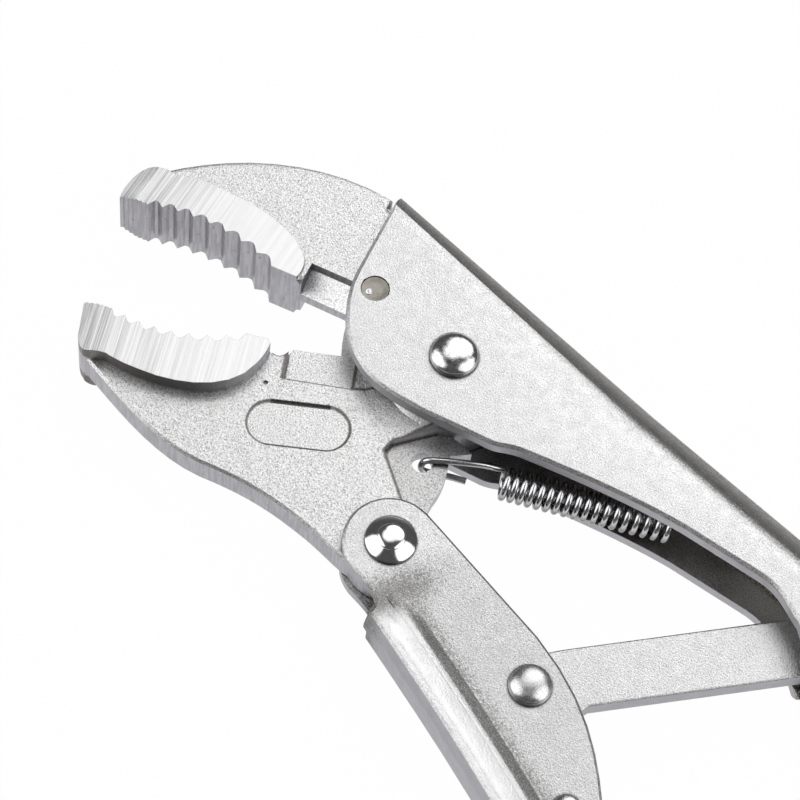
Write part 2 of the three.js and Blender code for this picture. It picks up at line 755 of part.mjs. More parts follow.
// A rivet with a domed head on top, a plain shank and a set tail below. half is where the
// heads sit, counted from the middle of the tool.
function rivet(centre, shank, head, half, options = {}) {
  const { rim = 0.7, crown = 1.0, dome = head, lift = 0 } = options;
  const { tail = head - 0.5, tailHeight = 0.6 } = options;
  const seat = half + SEAT;
  const profile = [
    [0, -seat - tailHeight],
    [tail - 0.35, -seat - tailHeight],
    [tail, -seat - tailHeight + 0.3],
    [tail, -seat],
    [shank, -seat],
    [shank, seat],
    [head - 0.12, seat],
    [head, seat + 0.15],
    [head, seat + rim],
  ];
  if (lift > 0) profile.push([dome + 0.15, seat + rim + lift]);
  const steps = 5;
  for (let i = lift > 0 ? 0 : 1; i <= steps; i++) {
    const angle = (i / steps) * (Math.PI / 2);
    profile.push([dome * Math.cos(angle), seat + rim + lift + crown * Math.sin(angle)]);
  }
  profile[profile.length - 1][0] = 0;
  return turned(centre, profile, 20);
}

// ---------------------------------------------------------------- toggle link

function toggleLink() {
  const shape = new THREE.Shape();
  const along = linkNose.clone().sub(LINK_PIVOT);
  const turn = Math.atan2(along.y, along.x) - Math.asin(LINK_OFFSET / along.length());
  const reach = Math.sqrt(along.lengthSq() - LINK_OFFSET * LINK_OFFSET);
  const high = LINK_OFFSET + LINK_HALF_HEIGHT;
  const low = LINK_OFFSET - LINK_HALF_HEIGHT;
  shape.moveTo(0, -LINK_EYE);
  shape.quadraticCurveTo(4.5, -LINK_EYE, 8, low);
  shape.lineTo(reach - 8, low);
  shape.quadraticCurveTo(reach - 4, low + 0.1, reach, LINK_OFFSET - LINK_NOSE);
  shape.absarc(reach, LINK_OFFSET, LINK_NOSE, -Math.PI / 2, Math.PI / 2, false);
  shape.quadraticCurveTo(reach - 4, high - 0.1, reach - 8, high);
  shape.lineTo(7, high);
  shape.quadraticCurveTo(2.5, high, 0, LINK_EYE);
  shape.absarc(0, 0, LINK_EYE, Math.PI / 2, Math.PI * 1.5, false);
  const half = LINK_THICKNESS / 2;
  const eye = new THREE.Vector2(0, 0);
  const body = slab(shape, -half, half, 0.2, 1, 10);
  const geometry = geometryOf(body.subtract(rod(eye, LINK_SHANK + RUN, -half - 1, half + 1)));
  geometry.rotateZ(turn);
  geometry.translate(LINK_PIVOT.x, LINK_PIVOT.y, 0);
  return geometry;
}

// ---------------------------------------------------------------- release lever

// Stamped channel lying between the walls of the lower handle. Its nose points at the link, and
// its tail stands proud of the grip and ends in a flared finger pad.
function leverSide(inset) {
  const shape = new THREE.Shape();
  const drop = inset > 0 ? -6 : 0;
  shape.moveTo(45.8 + inset, -34.8);
  shape.quadraticCurveTo(46.0 + inset, -33.8 - inset, 48.5, -33.9 - inset);
  shape.bezierCurveTo(52.5, -34.0 - inset, 55.5, -33.8 - inset, 58.5, -35.8 - inset);
  shape.bezierCurveTo(64, -39.4 - inset, 72, -41.9 - inset, 80, -44.4 - inset);
  shape.bezierCurveTo(90, -47.6 - inset, 98, -52.8 - inset, 104, -57.8 - inset);
  shape.bezierCurveTo(106.5, -59.8 - inset, 109.5, -61.0 - inset, 113.4 - inset, -61.4 - inset);
  shape.lineTo(113.2 - inset, -62.9 + drop);
  shape.bezierCurveTo(108.0, -62.9 + drop, 105, -61.9 + drop, 102.5, -60.4 + drop);
  shape.bezierCurveTo(93, -53.6 + drop, 84, -51.2 + drop, 72, -47.8 + drop);
  shape.bezierCurveTo(64, -45.6 + drop, 58, -43.2 + drop, 52.4, -41.0 + drop);
  shape.quadraticCurveTo(47.5, -38.6 + drop, 45.8 + inset, -36.2 + drop);
  return shape;
}

function releaseLever() {
  const half = LEVER_WIDTH / 2;
  const inside = half - LEVER_SHEET;
  let body = slab(leverSide(0), -half, half, 0.3, 1, 8);
  body = body.subtract(slab(leverSide(LEVER_SHEET), -inside, inside, 0, 1, 8));
  return body.subtract(rod(LEVER_PIVOT, LEVER_SHANK + RUN, -half - 1, half + 1, 12));
}

// ---------------------------------------------------------------- adjusting screw

const screwTip = linkNose.x + LINK_NOSE + NOSE_GAP;
const knobStart = TUBE_END + KNOB_GAP;

function adjustingScrew() {
  const core = THREAD_RADIUS;
  const profile = [
    [0, screwTip],
    [core - 1.6, screwTip],
    [core - 0.3, screwTip + 1.6],
    [core, screwTip + 2.0],
    [core, knobStart - 0.8],
    [core - 0.6, knobStart - 0.3],
    [core - 0.6, knobStart + 6],
    [0, knobStart + 6],
  ];
  return turnedAlongX(tubeAxis, profile, 36);
}

// Knurled knob, pressed on the screw.
function screwKnob() {
  const end = knobStart + KNOB_LENGTH;
  const profile = [
    [0, knobStart],
    [KNOB_RADIUS - 1.4, knobStart],
    [KNOB_RADIUS - 0.5, knobStart + 0.8],
    [KNOB_RADIUS, knobStart + 1.6],
    [KNOB_RADIUS, end - 1.4],
    [KNOB_RADIUS - 0.6, end - 0.4],
    [KNOB_RADIUS - 1.4, end],
    [0, end],
  ];
  let body = solidOf(turnedAlongX(tubeAxis, profile, 2 * KNOB_FLUTES));
  for (let i = 0; i < KNOB_FLUTES; i++) {
    const flute = new THREE.CylinderGeometry(0.45, 0.45, KNOB_LENGTH - 4.4, 6);
    flute.rotateZ(Math.PI / 2);
    const angle = ((i + 0.5) / KNOB_FLUTES) * 2 * Math.PI;
    const reach = KNOB_RADIUS + 0.15;
    const middle = knobStart + KNOB_LENGTH / 2;
    flute.translate(middle, tubeAxis + reach * Math.cos(angle), reach * Math.sin(angle));
    body = body.subtract(solidOf(flute));
  }
  const socket = THREAD_RADIUS - 0.6 + SEAT;
  const bottom = knobStart + 6 + SEAT;
  const bore = [[0, knobStart - 1], [socket, knobStart - 1], [socket, bottom], [0, bottom]];
  return body.subtract(solidOf(turnedAlongX(tubeAxis, bore)));
}

// ---------------------------------------------------------------- return spring

// Centre line of the wire, in the spring's own frame: the ear hole is at the origin and the
// spring runs along +X. Each end goes through its hole and turns back as a hook.
function springPath() {
  const reach = SPRING_ANCHOR.distanceTo(EAR_HOLE);
  const coil = (COIL_OUTSIDE - WIRE) / 2;
  const face = EAR_THICKNESS / 2 + WIRE / 2 + 0.1;
  const points = [
    new THREE.Vector3(6.5, 0.1, -face),
    new THREE.Vector3(4.2, 0.2, -face),
    new THREE.Vector3(1.2, 0.1, -face),
    new THREE.Vector3(0.25, 0, -face + 0.5),
    new THREE.Vector3(-0.05, 0, 0),
    new THREE.Vector3(0.25, 0.2, face - 0.5),
    new THREE.Vector3(1.0, 0.35, face),
    new THREE.Vector3(2.6, 0.75, face),
    new THREE.Vector3(4.2, 1.1, face),
    new THREE.Vector3(8.5, 2.0, face - 0.5),
  ];
  const perTurn = 8;
  for (let i = 0; i <= COIL_TURNS * perTurn; i++) {
    const turn = (2 * Math.PI * i) / perTurn;
    const share = i / (COIL_TURNS * perTurn);
    const stretched = (1 - COIL_SPREAD) * share + COIL_SPREAD * share * share;
    const along = COIL_START + COIL_LENGTH * stretched;
    const lift = COIL_LIFT * (1 - share);
    points.push(new THREE.Vector3(along, lift + coil * Math.cos(turn), -coil * Math.sin(turn)));
  }
  const hook = 1.55;
  const hookSteps = 8;
  for (let i = 0; i <= hookSteps; i++) {
    const angle = Math.PI / 2 - (Math.PI * i) / hookSteps;
    const x = reach - hook + hook * Math.cos(angle);
    points.push(new THREE.Vector3(x, 0, hook * Math.sin(angle)));
  }
  points.push(new THREE.Vector3(reach - 4.2, 0, -hook));
  return new THREE.CatmullRomCurve3(points);
}

function returnSpring() {
  const wire = new THREE.Shape().absarc(0, 0, WIRE / 2, 0, 2 * Math.PI);
  const steps = COIL_TURNS * 8 + 40;
  return new THREE.ExtrudeGeometry(wire, {
    extrudePath: springPath(),
    steps,
    curveSegments: 3,
    bevelEnabled: false,
  });
}

// The tab inside the handle's back that the spring hooks into.
function springTab() {
  const tab = new THREE.Shape();
  const { x, y } = SPRING_ANCHOR;
  tab.moveTo(x - 1.2, y - 2.2);
  tab.absarc(x, y, 2.4, -2.2, -0.4, false);
  tab.lineTo(x + 6, HANDLE_BACK);
  tab.lineTo(x - 3.2, HANDLE_BACK);
  tab.lineTo(x - 2.3, y);
  const seat = handleSkin(HANDLE_SHEET + SEAT, HANDLE_FRONT - 3, TUBE_START);
  return slab(tab, -0.75, 0.75, 0, 1, 6).intersect(seat).subtract(rod(SPRING_ANCHOR, 1.1, -2, 2, 8));
}

// ---------------------------------------------------------------- assembly

function steel(colour, roughness, metalness) {
  return new THREE.MeshStandardMaterial({ color: colour, roughness, metalness });
}

const PLATED = [0xd6d4d2, 0.45, 0.85];
const GROUND = [0xe4e4e6, 0.3, 0.95];
const CHROME = [0xf0f0f2, 0.08, 1.0];
const SATIN = [0xd8d8da, 0.25, 1.0];
const WIRE_STEEL = [0xc8c8cc, 0.2, 1.0];

const HANDLE_HEAD_SHAPE = { rim: 0.5, lift: 0.6, dome: HANDLE_DOME, crown: 0.65 };

const pieces = [
  ["upper_handle", geometryOf(upperHandle()), PLATED],
  ["upper_jaw", geometryOf(upperJaw()), GROUND],
  ["upper_jaw_pin", upperJawPin(), SATIN],
  ["main_rivet", rivet(MAIN_PIVOT, MAIN_SHANK, MAIN_HEAD, HANDLE_WIDTH / 2), CHROME],
  ["lower_jaw", geometryOf(lowerJaw()), GROUND],
  ["lower_handle", geometryOf(lowerHandle()), PLATED],
  [
    "handle_rivet",
    rivet(HANDLE_PIVOT, HANDLE_SHANK, HANDLE_HEAD, lugHalf, HANDLE_HEAD_SHAPE),
    CHROME,
  ],
  ["link_rivet", rivet(LINK_PIVOT, LINK_SHANK, LINK_HEAD, lugHalf), SATIN],
  [
    "lever_rivet",
    rivet(LEVER_PIVOT, LEVER_SHANK, LEVER_HEAD, lugHalf, { rim: 0.5, crown: 0.7 }),
    SATIN,
  ],
  ["toggle_link", toggleLink(), PLATED],
  ["release_lever", geometryOf(releaseLever()), PLATED],
  ["adjusting_screw", adjustingScrew(), SATIN],
  ["screw_knob", geometryOf(screwKnob()), SATIN],
  ["spring_tab", geometryOf(springTab()), PLATED],
];

const pliers = new THREE.Group();
for (const [name, geometry, finish] of pieces) {
  const mesh = new THREE.Mesh(geometry, steel(...finish));
  mesh.name = name;
  pliers.add(mesh);
}

const spring = new THREE.Mesh(returnSpring(), steel(...WIRE_STEEL));
spring.name = "return_spring";
const springLine = SPRING_ANCHOR.clone().sub(EAR_HOLE);
spring.position.set(EAR_HOLE.x, EAR_HOLE.y, 0);
spring.rotation.z = springLine.angle();
pliers.add(spring);

// The origin is the bottom centre of the tool as it lies on its side.
pliers.updateMatrixWorld(true);
const box = new THREE.Box3().setFromObject(pliers, true);
pliers.position.set(-(box.min.x + box.max.x) / 2, -(box.min.y + box.max.y) / 2, -box.min.z);

export default pliers;
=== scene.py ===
import json
import math

import bpy
from mathutils import Euler, Matrix, Vector

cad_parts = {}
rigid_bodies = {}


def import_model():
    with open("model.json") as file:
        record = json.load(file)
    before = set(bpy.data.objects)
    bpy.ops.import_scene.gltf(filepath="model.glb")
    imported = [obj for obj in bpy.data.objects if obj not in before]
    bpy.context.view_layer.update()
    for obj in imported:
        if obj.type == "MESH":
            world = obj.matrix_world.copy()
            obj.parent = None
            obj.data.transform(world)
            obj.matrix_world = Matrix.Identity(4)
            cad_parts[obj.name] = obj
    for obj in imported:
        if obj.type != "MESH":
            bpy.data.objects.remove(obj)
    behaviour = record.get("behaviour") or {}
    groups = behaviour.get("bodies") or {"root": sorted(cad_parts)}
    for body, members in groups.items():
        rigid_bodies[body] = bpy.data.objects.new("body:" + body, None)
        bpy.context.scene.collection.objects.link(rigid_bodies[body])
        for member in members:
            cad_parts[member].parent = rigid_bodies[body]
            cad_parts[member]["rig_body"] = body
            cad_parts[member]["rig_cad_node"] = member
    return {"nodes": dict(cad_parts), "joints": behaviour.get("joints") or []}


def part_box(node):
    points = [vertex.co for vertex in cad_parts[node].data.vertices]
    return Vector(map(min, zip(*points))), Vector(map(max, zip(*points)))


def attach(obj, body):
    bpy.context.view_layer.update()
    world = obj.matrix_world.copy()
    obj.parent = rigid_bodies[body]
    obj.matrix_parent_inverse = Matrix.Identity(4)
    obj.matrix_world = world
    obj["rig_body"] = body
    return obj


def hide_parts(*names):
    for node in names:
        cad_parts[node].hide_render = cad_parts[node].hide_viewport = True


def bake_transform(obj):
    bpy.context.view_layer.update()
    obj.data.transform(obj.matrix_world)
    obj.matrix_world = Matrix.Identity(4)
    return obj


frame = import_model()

bl_info = {
    "name": "Locking Pliers",
    "version": (1, 0, 0),
    "blender": (4, 5, 0),
    "location": "3D View > Sidebar > Pliers",
    "description": "Finishes the pieces of curved-jaw locking pliers and sets up the studio",
    "category": "Object",
}

MM = 0.001

# Places on the tool, in millimetres from the main pivot.
EAR_HOLE = (6.4, -12.9)
SPRING_ANCHOR = (44.0, 8.4)

# How far the seats of the rivet heads lie from the middle of the sheets, in millimetres: on the
# upper handle and on the lugs of the lower handle.
HANDLE_SEAT = 7.02
LUG_SEAT = 4.72

# Where the lower handle's lug is pressed out of its wall, in millimetres, the direction of the
# rib from there, and the valley beside the rib: its slope against that direction and its offset.
# They place the painted shade at the lug's neck and in the valley, and the painted highlight on
# the rib.
PRESS_CORNER = (18.6, -30.2)
PRESS_RUN = (0.934, -0.357)
VALLEY_SLOPE = 0.0914
VALLEY_OFFSET = 0.96

# How far the ground faces beside the teeth lie from the middle of the sheets, in millimetres.
GROUND_HEIGHT = 5.2

# Where painted shade lies along the creases on the web of the moving jaw, in millimetres: the two
# ends of a run, the radius about it and the width. First the rim of the oval recess, then the
# creases round the cutter and round the spring ear.
LOWER_JAW_CREASES = (
    ((-12.365, -23.713), (-6.335, -19.087), 3.45, 0.3),
    ((-7.9, -11.9), (-15.9, -17.5), 0.0, 0.32),
    ((-16.1, -17.5), (-19.1, -13.2), 0.0, 0.6),
    ((-10.9, -7.6), (-7.9, -11.9), 0.0, 0.4),
    ((-7.9, -11.9), (-5.2, -9.6), 0.0, 0.3),
    ((8.2, -4.0), (5.1, -7.6), 0.0, 0.45),
    ((5.1, -7.6), (1.6, -13.8), 0.0, 0.45),
    ((1.6, -13.8), (1.8, -15.8), 0.0, 0.45),
    ((1.8, -15.8), (8.8, -19.7), 0.0, 0.5),
)

# The camera: its lens, where it stands in degrees and metres, and what it looks at.
LENS = 130.5
CAMERA_AZIMUTH = 34.8835
CAMERA_ELEVATION = 62.0
CAMERA_ROLL = 9.0
CAMERA_DISTANCE = 0.40845
CAMERA_TARGET = (-2.768, -7.412)

# The soft boxes: azimuth and elevation of the middle, half width, soft rim (degrees) and level.
SOFT_BOXES = (
    (198, 49, 20, 3, 1.7),
    (223, 64, 9, 7, 1.6),
    (307, 49, 26, 3, 1.5),
    (312, 24, 24, 4, 1.5),
    (117, 50, 25, 3, 1.5),
    (108, 26, 23, 4, 1.5),
)
GAP_LIGHT = 0.08  # between the boxes
HORIZON_LIGHT = 0.42
FLOOR_WHITE = 0.985  # how much of the floor is white, and not its lit colour, to the camera


# ---------------------------------------------------------------- places


def joint_place(name):
    """Where a joint of the tool sits at rest."""
    for joint in frame["joints"]:
        if joint["name"] == name:
            return Vector(joint["pos_m"])
    raise RuntimeError(f"the frame has no joint named {name}")


def middle(node):
    """The middle of a node's box."""
    low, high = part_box(node)
    return (low + high) / 2


PIVOT = joint_place("jaw_pivot")
SCREW_AXIS = joint_place("knob_turn")
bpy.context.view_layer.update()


def on_tool(x, y, z=0.0):
    """A place given in millimetres from the main pivot, with z from the middle of the sheets."""
    return Vector((PIVOT.x + x * MM, PIVOT.y + y * MM, SCREW_AXIS.z + z * MM))


def direction(azimuth, elevation):
    """The way from the tool to a place round it, given in degrees."""
    turn, lift = math.radians(azimuth), math.radians(elevation)
    return Vector(
        (math.sin(turn) * math.cos(lift), -math.cos(turn) * math.cos(lift), math.sin(lift))
    )


# ---------------------------------------------------------------- modelling


def clear_selection():
    """Leaves nothing selected, in object mode."""
    if bpy.context.object and bpy.context.object.mode != "OBJECT":
        bpy.ops.object.mode_set(mode="OBJECT")
    bpy.ops.object.select_all(action="DESELECT")


def pick(piece):
    """Makes a piece the only one selected, and the active one."""
    clear_selection()
    piece.select_set(True)
    bpy.context.view_layer.objects.active = piece


def select_vertices(piece, test):
    """In edit mode, selects the vertices of a piece that pass a test."""
    bpy.ops.mesh.select_mode(type="VERT")
    bpy.ops.mesh.select_all(action="DESELECT")
    bpy.ops.object.mode_set(mode="OBJECT")
    for vertex in piece.data.vertices:
        vertex.select = test(vertex)
    bpy.ops.object.mode_set(mode="EDIT")


def smooth(piece, angle):
    """Shades a piece smooth, except over its sharp edges."""
    pick(piece)
    bpy.ops.object.shade_smooth_by_angle(angle=math.radians(angle))


def round_edges(piece, width, segments=3):
    """Bevels the sharp edges of a piece by a width in millimetres and evens its shading."""
    pick(piece)
    bevel = piece.modifiers.new("Edges", "BEVEL")
    bevel.width = width * MM
    bevel.segments = segments
    bevel.limit_method = "ANGLE"
    bevel.angle_limit = math.radians(32)
    bevel.use_clamp_overlap = True
    bpy.ops.object.modifier_apply(modifier=bevel.name)
    bpy.ops.object.shade_smooth_by_angle(angle=math.radians(45))
    shading = piece.modifiers.new("Shading", "WEIGHTED_NORMAL")
    shading.keep_sharp = True
    shading.weight = 80
    bpy.ops.object.modifier_apply(modifier=shading.name)


def finished_copy(node, name, flat=0.3):
    """A merged copy of a node, with the facets that lie within an angle of each other joined."""
    sliver = 0.12 * MM
    pick(frame["nodes"][node])
    bpy.ops.object.duplicate()
    piece = bpy.context.object
    bpy.ops.object.parent_clear(type="CLEAR_KEEP_TRANSFORM")
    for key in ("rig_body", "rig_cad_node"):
        if key in piece:
            del piece[key]
    piece.name = name
    piece.data.name = name
    piece.data.materials.clear()
    bpy.ops.mesh.customdata_custom_splitnormals_clear()
    bpy.ops.object.mode_set(mode="EDIT")
    bpy.ops.mesh.select_all(action="SELECT")
    bpy.ops.mesh.remove_doubles(threshold=0.002 * MM)
    bpy.ops.mesh.dissolve_degenerate(threshold=sliver)
    bpy.ops.mesh.dissolve_limited(angle_limit=math.radians(flat))
    bpy.ops.mesh.dissolve_degenerate(threshold=sliver)
    bpy.ops.object.mode_set(mode="OBJECT")
    return piece


def turned(name, profile, segments=64):
    """A turned piece about +Z, closed, from rings of radius and height in millimetres."""
    clear_selection()
    radius, height = profile[0]
    bpy.ops.mesh.primitive_circle_add(
        vertices=segments,
        radius=radius * MM,
        fill_type="NGON",
        location=(0, 0, height * MM),
    )
    piece = bpy.context.object
    piece.name = name
    bpy.ops.object.transform_apply(location=True, rotation=True, scale=True)
    bpy.ops.object.mode_set(mode="EDIT")
    bpy.ops.mesh.select_all(action="SELECT")
    for ring, level in profile[1:]:
        bpy.ops.mesh.extrude_region_move(
            TRANSFORM_OT_translate={"value": (0, 0, (level - height) * MM)}
        )
        factor = ring / radius
        bpy.ops.transform.resize(value=(factor, factor, 1), center_override=(0, 0, level * MM))
        radius, height = ring, level
    bpy.ops.mesh.select_all(action="SELECT")
    bpy.ops.mesh.normals_make_consistent(inside=False)
    bpy.ops.object.mode_set(mode="OBJECT")
    return piece


def dome(radius, base, crown):
    """Rings over a dome, from just above its base to a small flat at its top."""
    rings = []
    steps = 16
    for step in range(1, steps):
        angle = math.pi / 2 * step / steps
        rings.append((radius * math.cos(angle), base + crown * math.sin(angle)))
    rings.append((radius * 0.02, base + crown))
    return rings


def place(piece, where, turn=None):
    """Turns and moves a piece, then leaves its object at the origin."""
    pick(piece)
    if turn:
        piece.rotation_euler = Euler(turn)
    piece.location = where
    bpy.ops.object.transform_apply(location=True, rotation=True, scale=True)


def finish_piece(piece, material, body, slot, *nodes):
    """Gives a piece its finish and its body, and hides the nodes that it stands for. The slot is
    not used.
    """
    piece.data.materials.clear()
    piece.data.materials.append(material)
    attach(piece, body)
    if nodes:
        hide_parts(*nodes)


# ---------------------------------------------------------------- finishes


def shade(colour, share):
    """A darker colour, with a share of the light of another."""
    return tuple(share * part for part in colour)


class Number:
    """A number on its way through a finish's nodes, with plain arithmetic."""

    def __init__(self, finish, socket):
        self.finish = finish
        self.socket = socket

    def math(self, operation, first, second=None):
        inputs = {0: first}
        if second is not None:
            inputs[1] = second
        return self.finish.number("ShaderNodeMath", {"operation": operation}, inputs)

    def __add__(self, other):
        return self.math("ADD", self, other)

    __radd__ = __add__

    def __sub__(self, other):
        return self.math("SUBTRACT", self, other)

    def __rsub__(self, other):
        return self.math("SUBTRACT", other, self)

    def __mul__(self, other):
        return self.math("MULTIPLY", self, other)

    __rmul__ = __mul__

    def __truediv__(self, other):
        return self.math("DIVIDE", self, other)

    def __pow__(self, other):
        return self.math("POWER", self, other)

    def __abs__(self):
        return self.math("ABSOLUTE", self)

    def least(self, other):
        return self.math("MINIMUM", self, other)

    def most(self, other):
        return self.math("MAXIMUM", self, other)

    def sine(self):
        return self.math("SINE", self)

    def ramp(self, low, high, to_low=0.0, to_high=1.0):
        """Eases from one value to another while this number goes from low to high."""
        return self.finish.number(
            "ShaderNodeMapRange",
            {"interpolation_type": "SMOOTHSTEP", "clamp": True},
            {0: self, 1: low, 2: high, 3: to_low, 4: to_high},
        )


class Finish:
    """One material, or the world, built node by node."""

    def __init__(self, name, world=None):
        self.material = world or bpy.data.materials.new(name)
        self.material.use_nodes = True
        self.nodes = self.material.node_tree.nodes
        self.links = self.material.node_tree.links
        self.nodes.clear()

    def add(self, kind, settings=None, inputs=None):
        """A node of a kind, with its settings and the values or links of its sockets."""
        node = self.nodes.new(kind)
        for key, value in (settings or {}).items():
            setattr(node, key, value)
        for key, value in (inputs or {}).items():
            if isinstance(value, Number):
                value = value.socket
            if isinstance(value, bpy.types.NodeSocket):
                self.links.new(value, node.inputs[key])
            else:
                node.inputs[key].default_value = value
        return node

    def number(self, kind, settings=None, inputs=None, output=0):
        """The number that a new node gives."""
        return Number(self, self.add(kind, settings, inputs).outputs[output])

    def place(self):
        """Object coordinates, in metres."""
        return self.add("ShaderNodeTexCoord").outputs["Object"]

    def on_tool(self):
        """Object coordinates in millimetres from the main pivot, at the middle of the sheets."""
        x, y, z = self.axes(self.place())
        return [(x - PIVOT.x) / MM, (y - PIVOT.y) / MM, (z - SCREW_AXIS.z) / MM]

    def axes(self, vector):
        """A vector's x, y and z as numbers."""
        split = self.add("ShaderNodeSeparateXYZ", None, {0: vector})
        return [Number(self, socket) for socket in split.outputs]

    def away(self, x, y, start, end):
        """How far a place is from the straight run between two others, all in millimetres."""
        run_x, run_y = end[0] - start[0], end[1] - start[1]
        off_x, off_y = x - start[0], y - start[1]
        share = (off_x * run_x + off_y * run_y) / (run_x * run_x + run_y * run_y)
        share = share.most(0.0).least(1.0)
        gap_x, gap_y = off_x - share * run_x, off_y - share * run_y
        return (gap_x * gap_x + gap_y * gap_y) ** 0.5

    def facing(self):
        """The surface's own direction as x, y and z."""
        return self.axes(self.add("ShaderNodeNewGeometry").outputs["Normal"])

    def noise(self, size, detail=2.0, roughness=0.5, distortion=0.0, where=None):
        """Soft random values around a half, with grains of a size in millimetres."""
        return self.number(
            "ShaderNodeTexNoise",
            None,
            {
                "Vector": where or self.place(),
                "Scale": 1 / (size * MM),
                "Detail": detail,
                "Roughness": roughness,
                "Distortion": distortion,
            },
        )

    def turned_place(self, about, turn, stretch):
        """Object coordinates from a point, turned in degrees about Z, then scaled by axis."""
        spin = self.add(
            "ShaderNodeMapping",
            {"vector_type": "TEXTURE"},
            {"Vector": self.place(), "Location": about, "Rotation": (0, 0, math.radians(turn))},
        )
        return self.add(
            "ShaderNodeMapping", None, {"Vector": spin.outputs[0], "Scale": stretch}
        ).outputs[0]

    def mix(self, amount, first, second):
        """A colour between two."""
        node = self.add("ShaderNodeMix", {"data_type": "RGBA"})
        for index, value in ((0, amount), (6, first), (7, second)):
            if isinstance(value, Number):
                value = value.socket
            if isinstance(value, bpy.types.NodeSocket):
                self.links.new(value, node.inputs[index])
            elif index:
                node.inputs[index].default_value = (*value, 1.0)
            else:
                node.inputs[index].default_value = value
        return node.outputs[2]

    def levelled(self, amount, lean):
        """The surface's direction, turned by an amount from 0 to 1 to the flats, then leant."""
        x, y, z = self.facing()
        keep = 1 - amount
        joined = self.add(
            "ShaderNodeCombineXYZ", None, {0: x * keep + lean[0], 1: y * keep + lean[1], 2: z}
        )
        return self.add(
            "ShaderNodeVectorMath", {"operation": "NORMALIZE"}, {0: joined.outputs[0]}
        ).outputs[0]

    def metal(self, colour, roughness, height, depth, strength, level=None, lean=(0.0, 0.0)):
        """Closes the finish with a metal surface, the depth of its relief in millimetres."""
        bump = self.add(
            "ShaderNodeBump", None, {"Height": height, "Distance": depth * MM, "Strength": strength}
        )
        if level is not None:
            self.links.new(self.levelled(level, lean), bump.inputs["Normal"])
        surface = self.add(
            "ShaderNodeBsdfPrincipled",
            None,
            {
                "Base Color": colour,
                "Roughness": roughness,
                "Metallic": 1.0,
                "Normal": bump.outputs[0],
            },
        )
        self.add("ShaderNodeOutputMaterial", None, {"Surface": surface.outputs[0]})
        return self.material


def pebbled(finish, size):
    """The grains of a blasted surface, and how deep its dark pits are."""
    grain = finish.noise(size, 2.0, 0.65)
    pits = finish.noise(size * 0.7, 2.0, 0.6, 0.4).ramp(0.24, 0.6, 1.0, 0.0)
    return grain, pits


def occlusion_shade(finish, reach, full=0.5, clear=0.95):
    """How deep a place lies in a crease, within a reach in millimetres: the mask that paints shade
    into creases.
    """
    return finish.number(
        "ShaderNodeAmbientOcclusion", {"samples": 10}, {"Distance": reach * MM}, 1
    ).ramp(full, clear, 1.0, 0.0)


def plate(finish, colours, plated, grain, pits, depth=0.55, flat=0.95, halo_shade=0.5):
    """The colour of nickel plate: bright on the flats, with painted shade speckled in the bends,
    dull on cut edges.

    The pits are darker with more depth, a bend starts where a face leaves the flat by more, and
    painted shade lies round what stands on the plate and in its creases.
    """
    tilt = abs(finish.facing()[2])
    pitted = finish.mix(pits * depth, plated, colours.pit_and_shade)
    # Painted shade in the bends, where a face turns from the flat, broken up by the grain.
    bend = (tilt.ramp(0.5, flat, 1.0, 0.0) + (0.5 - grain) * 2.0).ramp(0.5, 0.85)
    bent = finish.mix(bend * 0.5, pitted, colours.pit_and_shade)
    edged = finish.mix(tilt.ramp(0.25, 0.5, 0.92, 0.0), bent, colours.cut_edge)
    # Painted shade round what stands on the plate, from the occlusion within 1.5 mm, broken up by
    # the grain.
    shade_halo = (occlusion_shade(finish, 1.5) + (0.5 - grain) * 2.4).ramp(0.45, 1.2)
    shaded = finish.mix(shade_halo * halo_shade, edged, colours.pit_and_shade)
    # Painted shade in the deepest creases, from the occlusion within 0.5 mm.
    return finish.mix(occlusion_shade(finish, 0.5, 0.5, 0.85) * 0.65, shaded, colours.deep_shade)


def press_shade_and_highlight(finish, colours, colour, grain):
    """Painted shade, speckled, at the neck of the pressed lug and in the valley beside the rib, a
    painted highlight on the rib's crown, and a faint painted shade over the lug.
    """
    x, y, z = finish.on_tool()
    off_x, off_y = x - PRESS_CORNER[0], y - PRESS_CORNER[1]
    ahead = off_x * PRESS_RUN[0] + off_y * PRESS_RUN[1]
    aside = off_y * PRESS_RUN[0] - off_x * PRESS_RUN[1]
    valley = aside - ahead * VALLEY_SLOPE + VALLEY_OFFSET
    # Painted shade at the lug's neck and in the valley beside the rib.
    neck = abs(ahead).ramp(0.2, 6.0, 1.0, 0.0) * aside.ramp(-1.0, 12.0, 1.0, 0.0)
    beside = abs(valley).ramp(0.3, 5.0, 1.0, 0.0) * valley.ramp(-1.6, -0.2) * ahead.ramp(-1.0, 1.5)
    shade_band = neck.most(beside * 0.85)
    speck = (shade_band + (0.5 - grain) * 2.0).ramp(0.1, 1.1) * shade_band.ramp(0.0, 0.25)
    # A faint painted shade over the lug, fading away from the neck.
    dull = ahead.ramp(-5.0, 1.0) * valley.ramp(0.0, 3.0) * ahead.ramp(14.0, 45.0, 1.0, 0.3)
    colour = finish.mix((speck * 0.75).most(dull * 0.15), colour, colours.pit_and_shade)
    tilt = abs(finish.facing()[2])
    # A painted highlight on the rib's crown, in the brighter plate colour of the jaws.
    crown = valley.ramp(-1.4, -0.7, 1.0, 0.0) * ahead.ramp(0.5, 3.5) * tilt.ramp(0.6, 0.85)
    return finish.mix(crown * 0.7, colour, colours.forged)


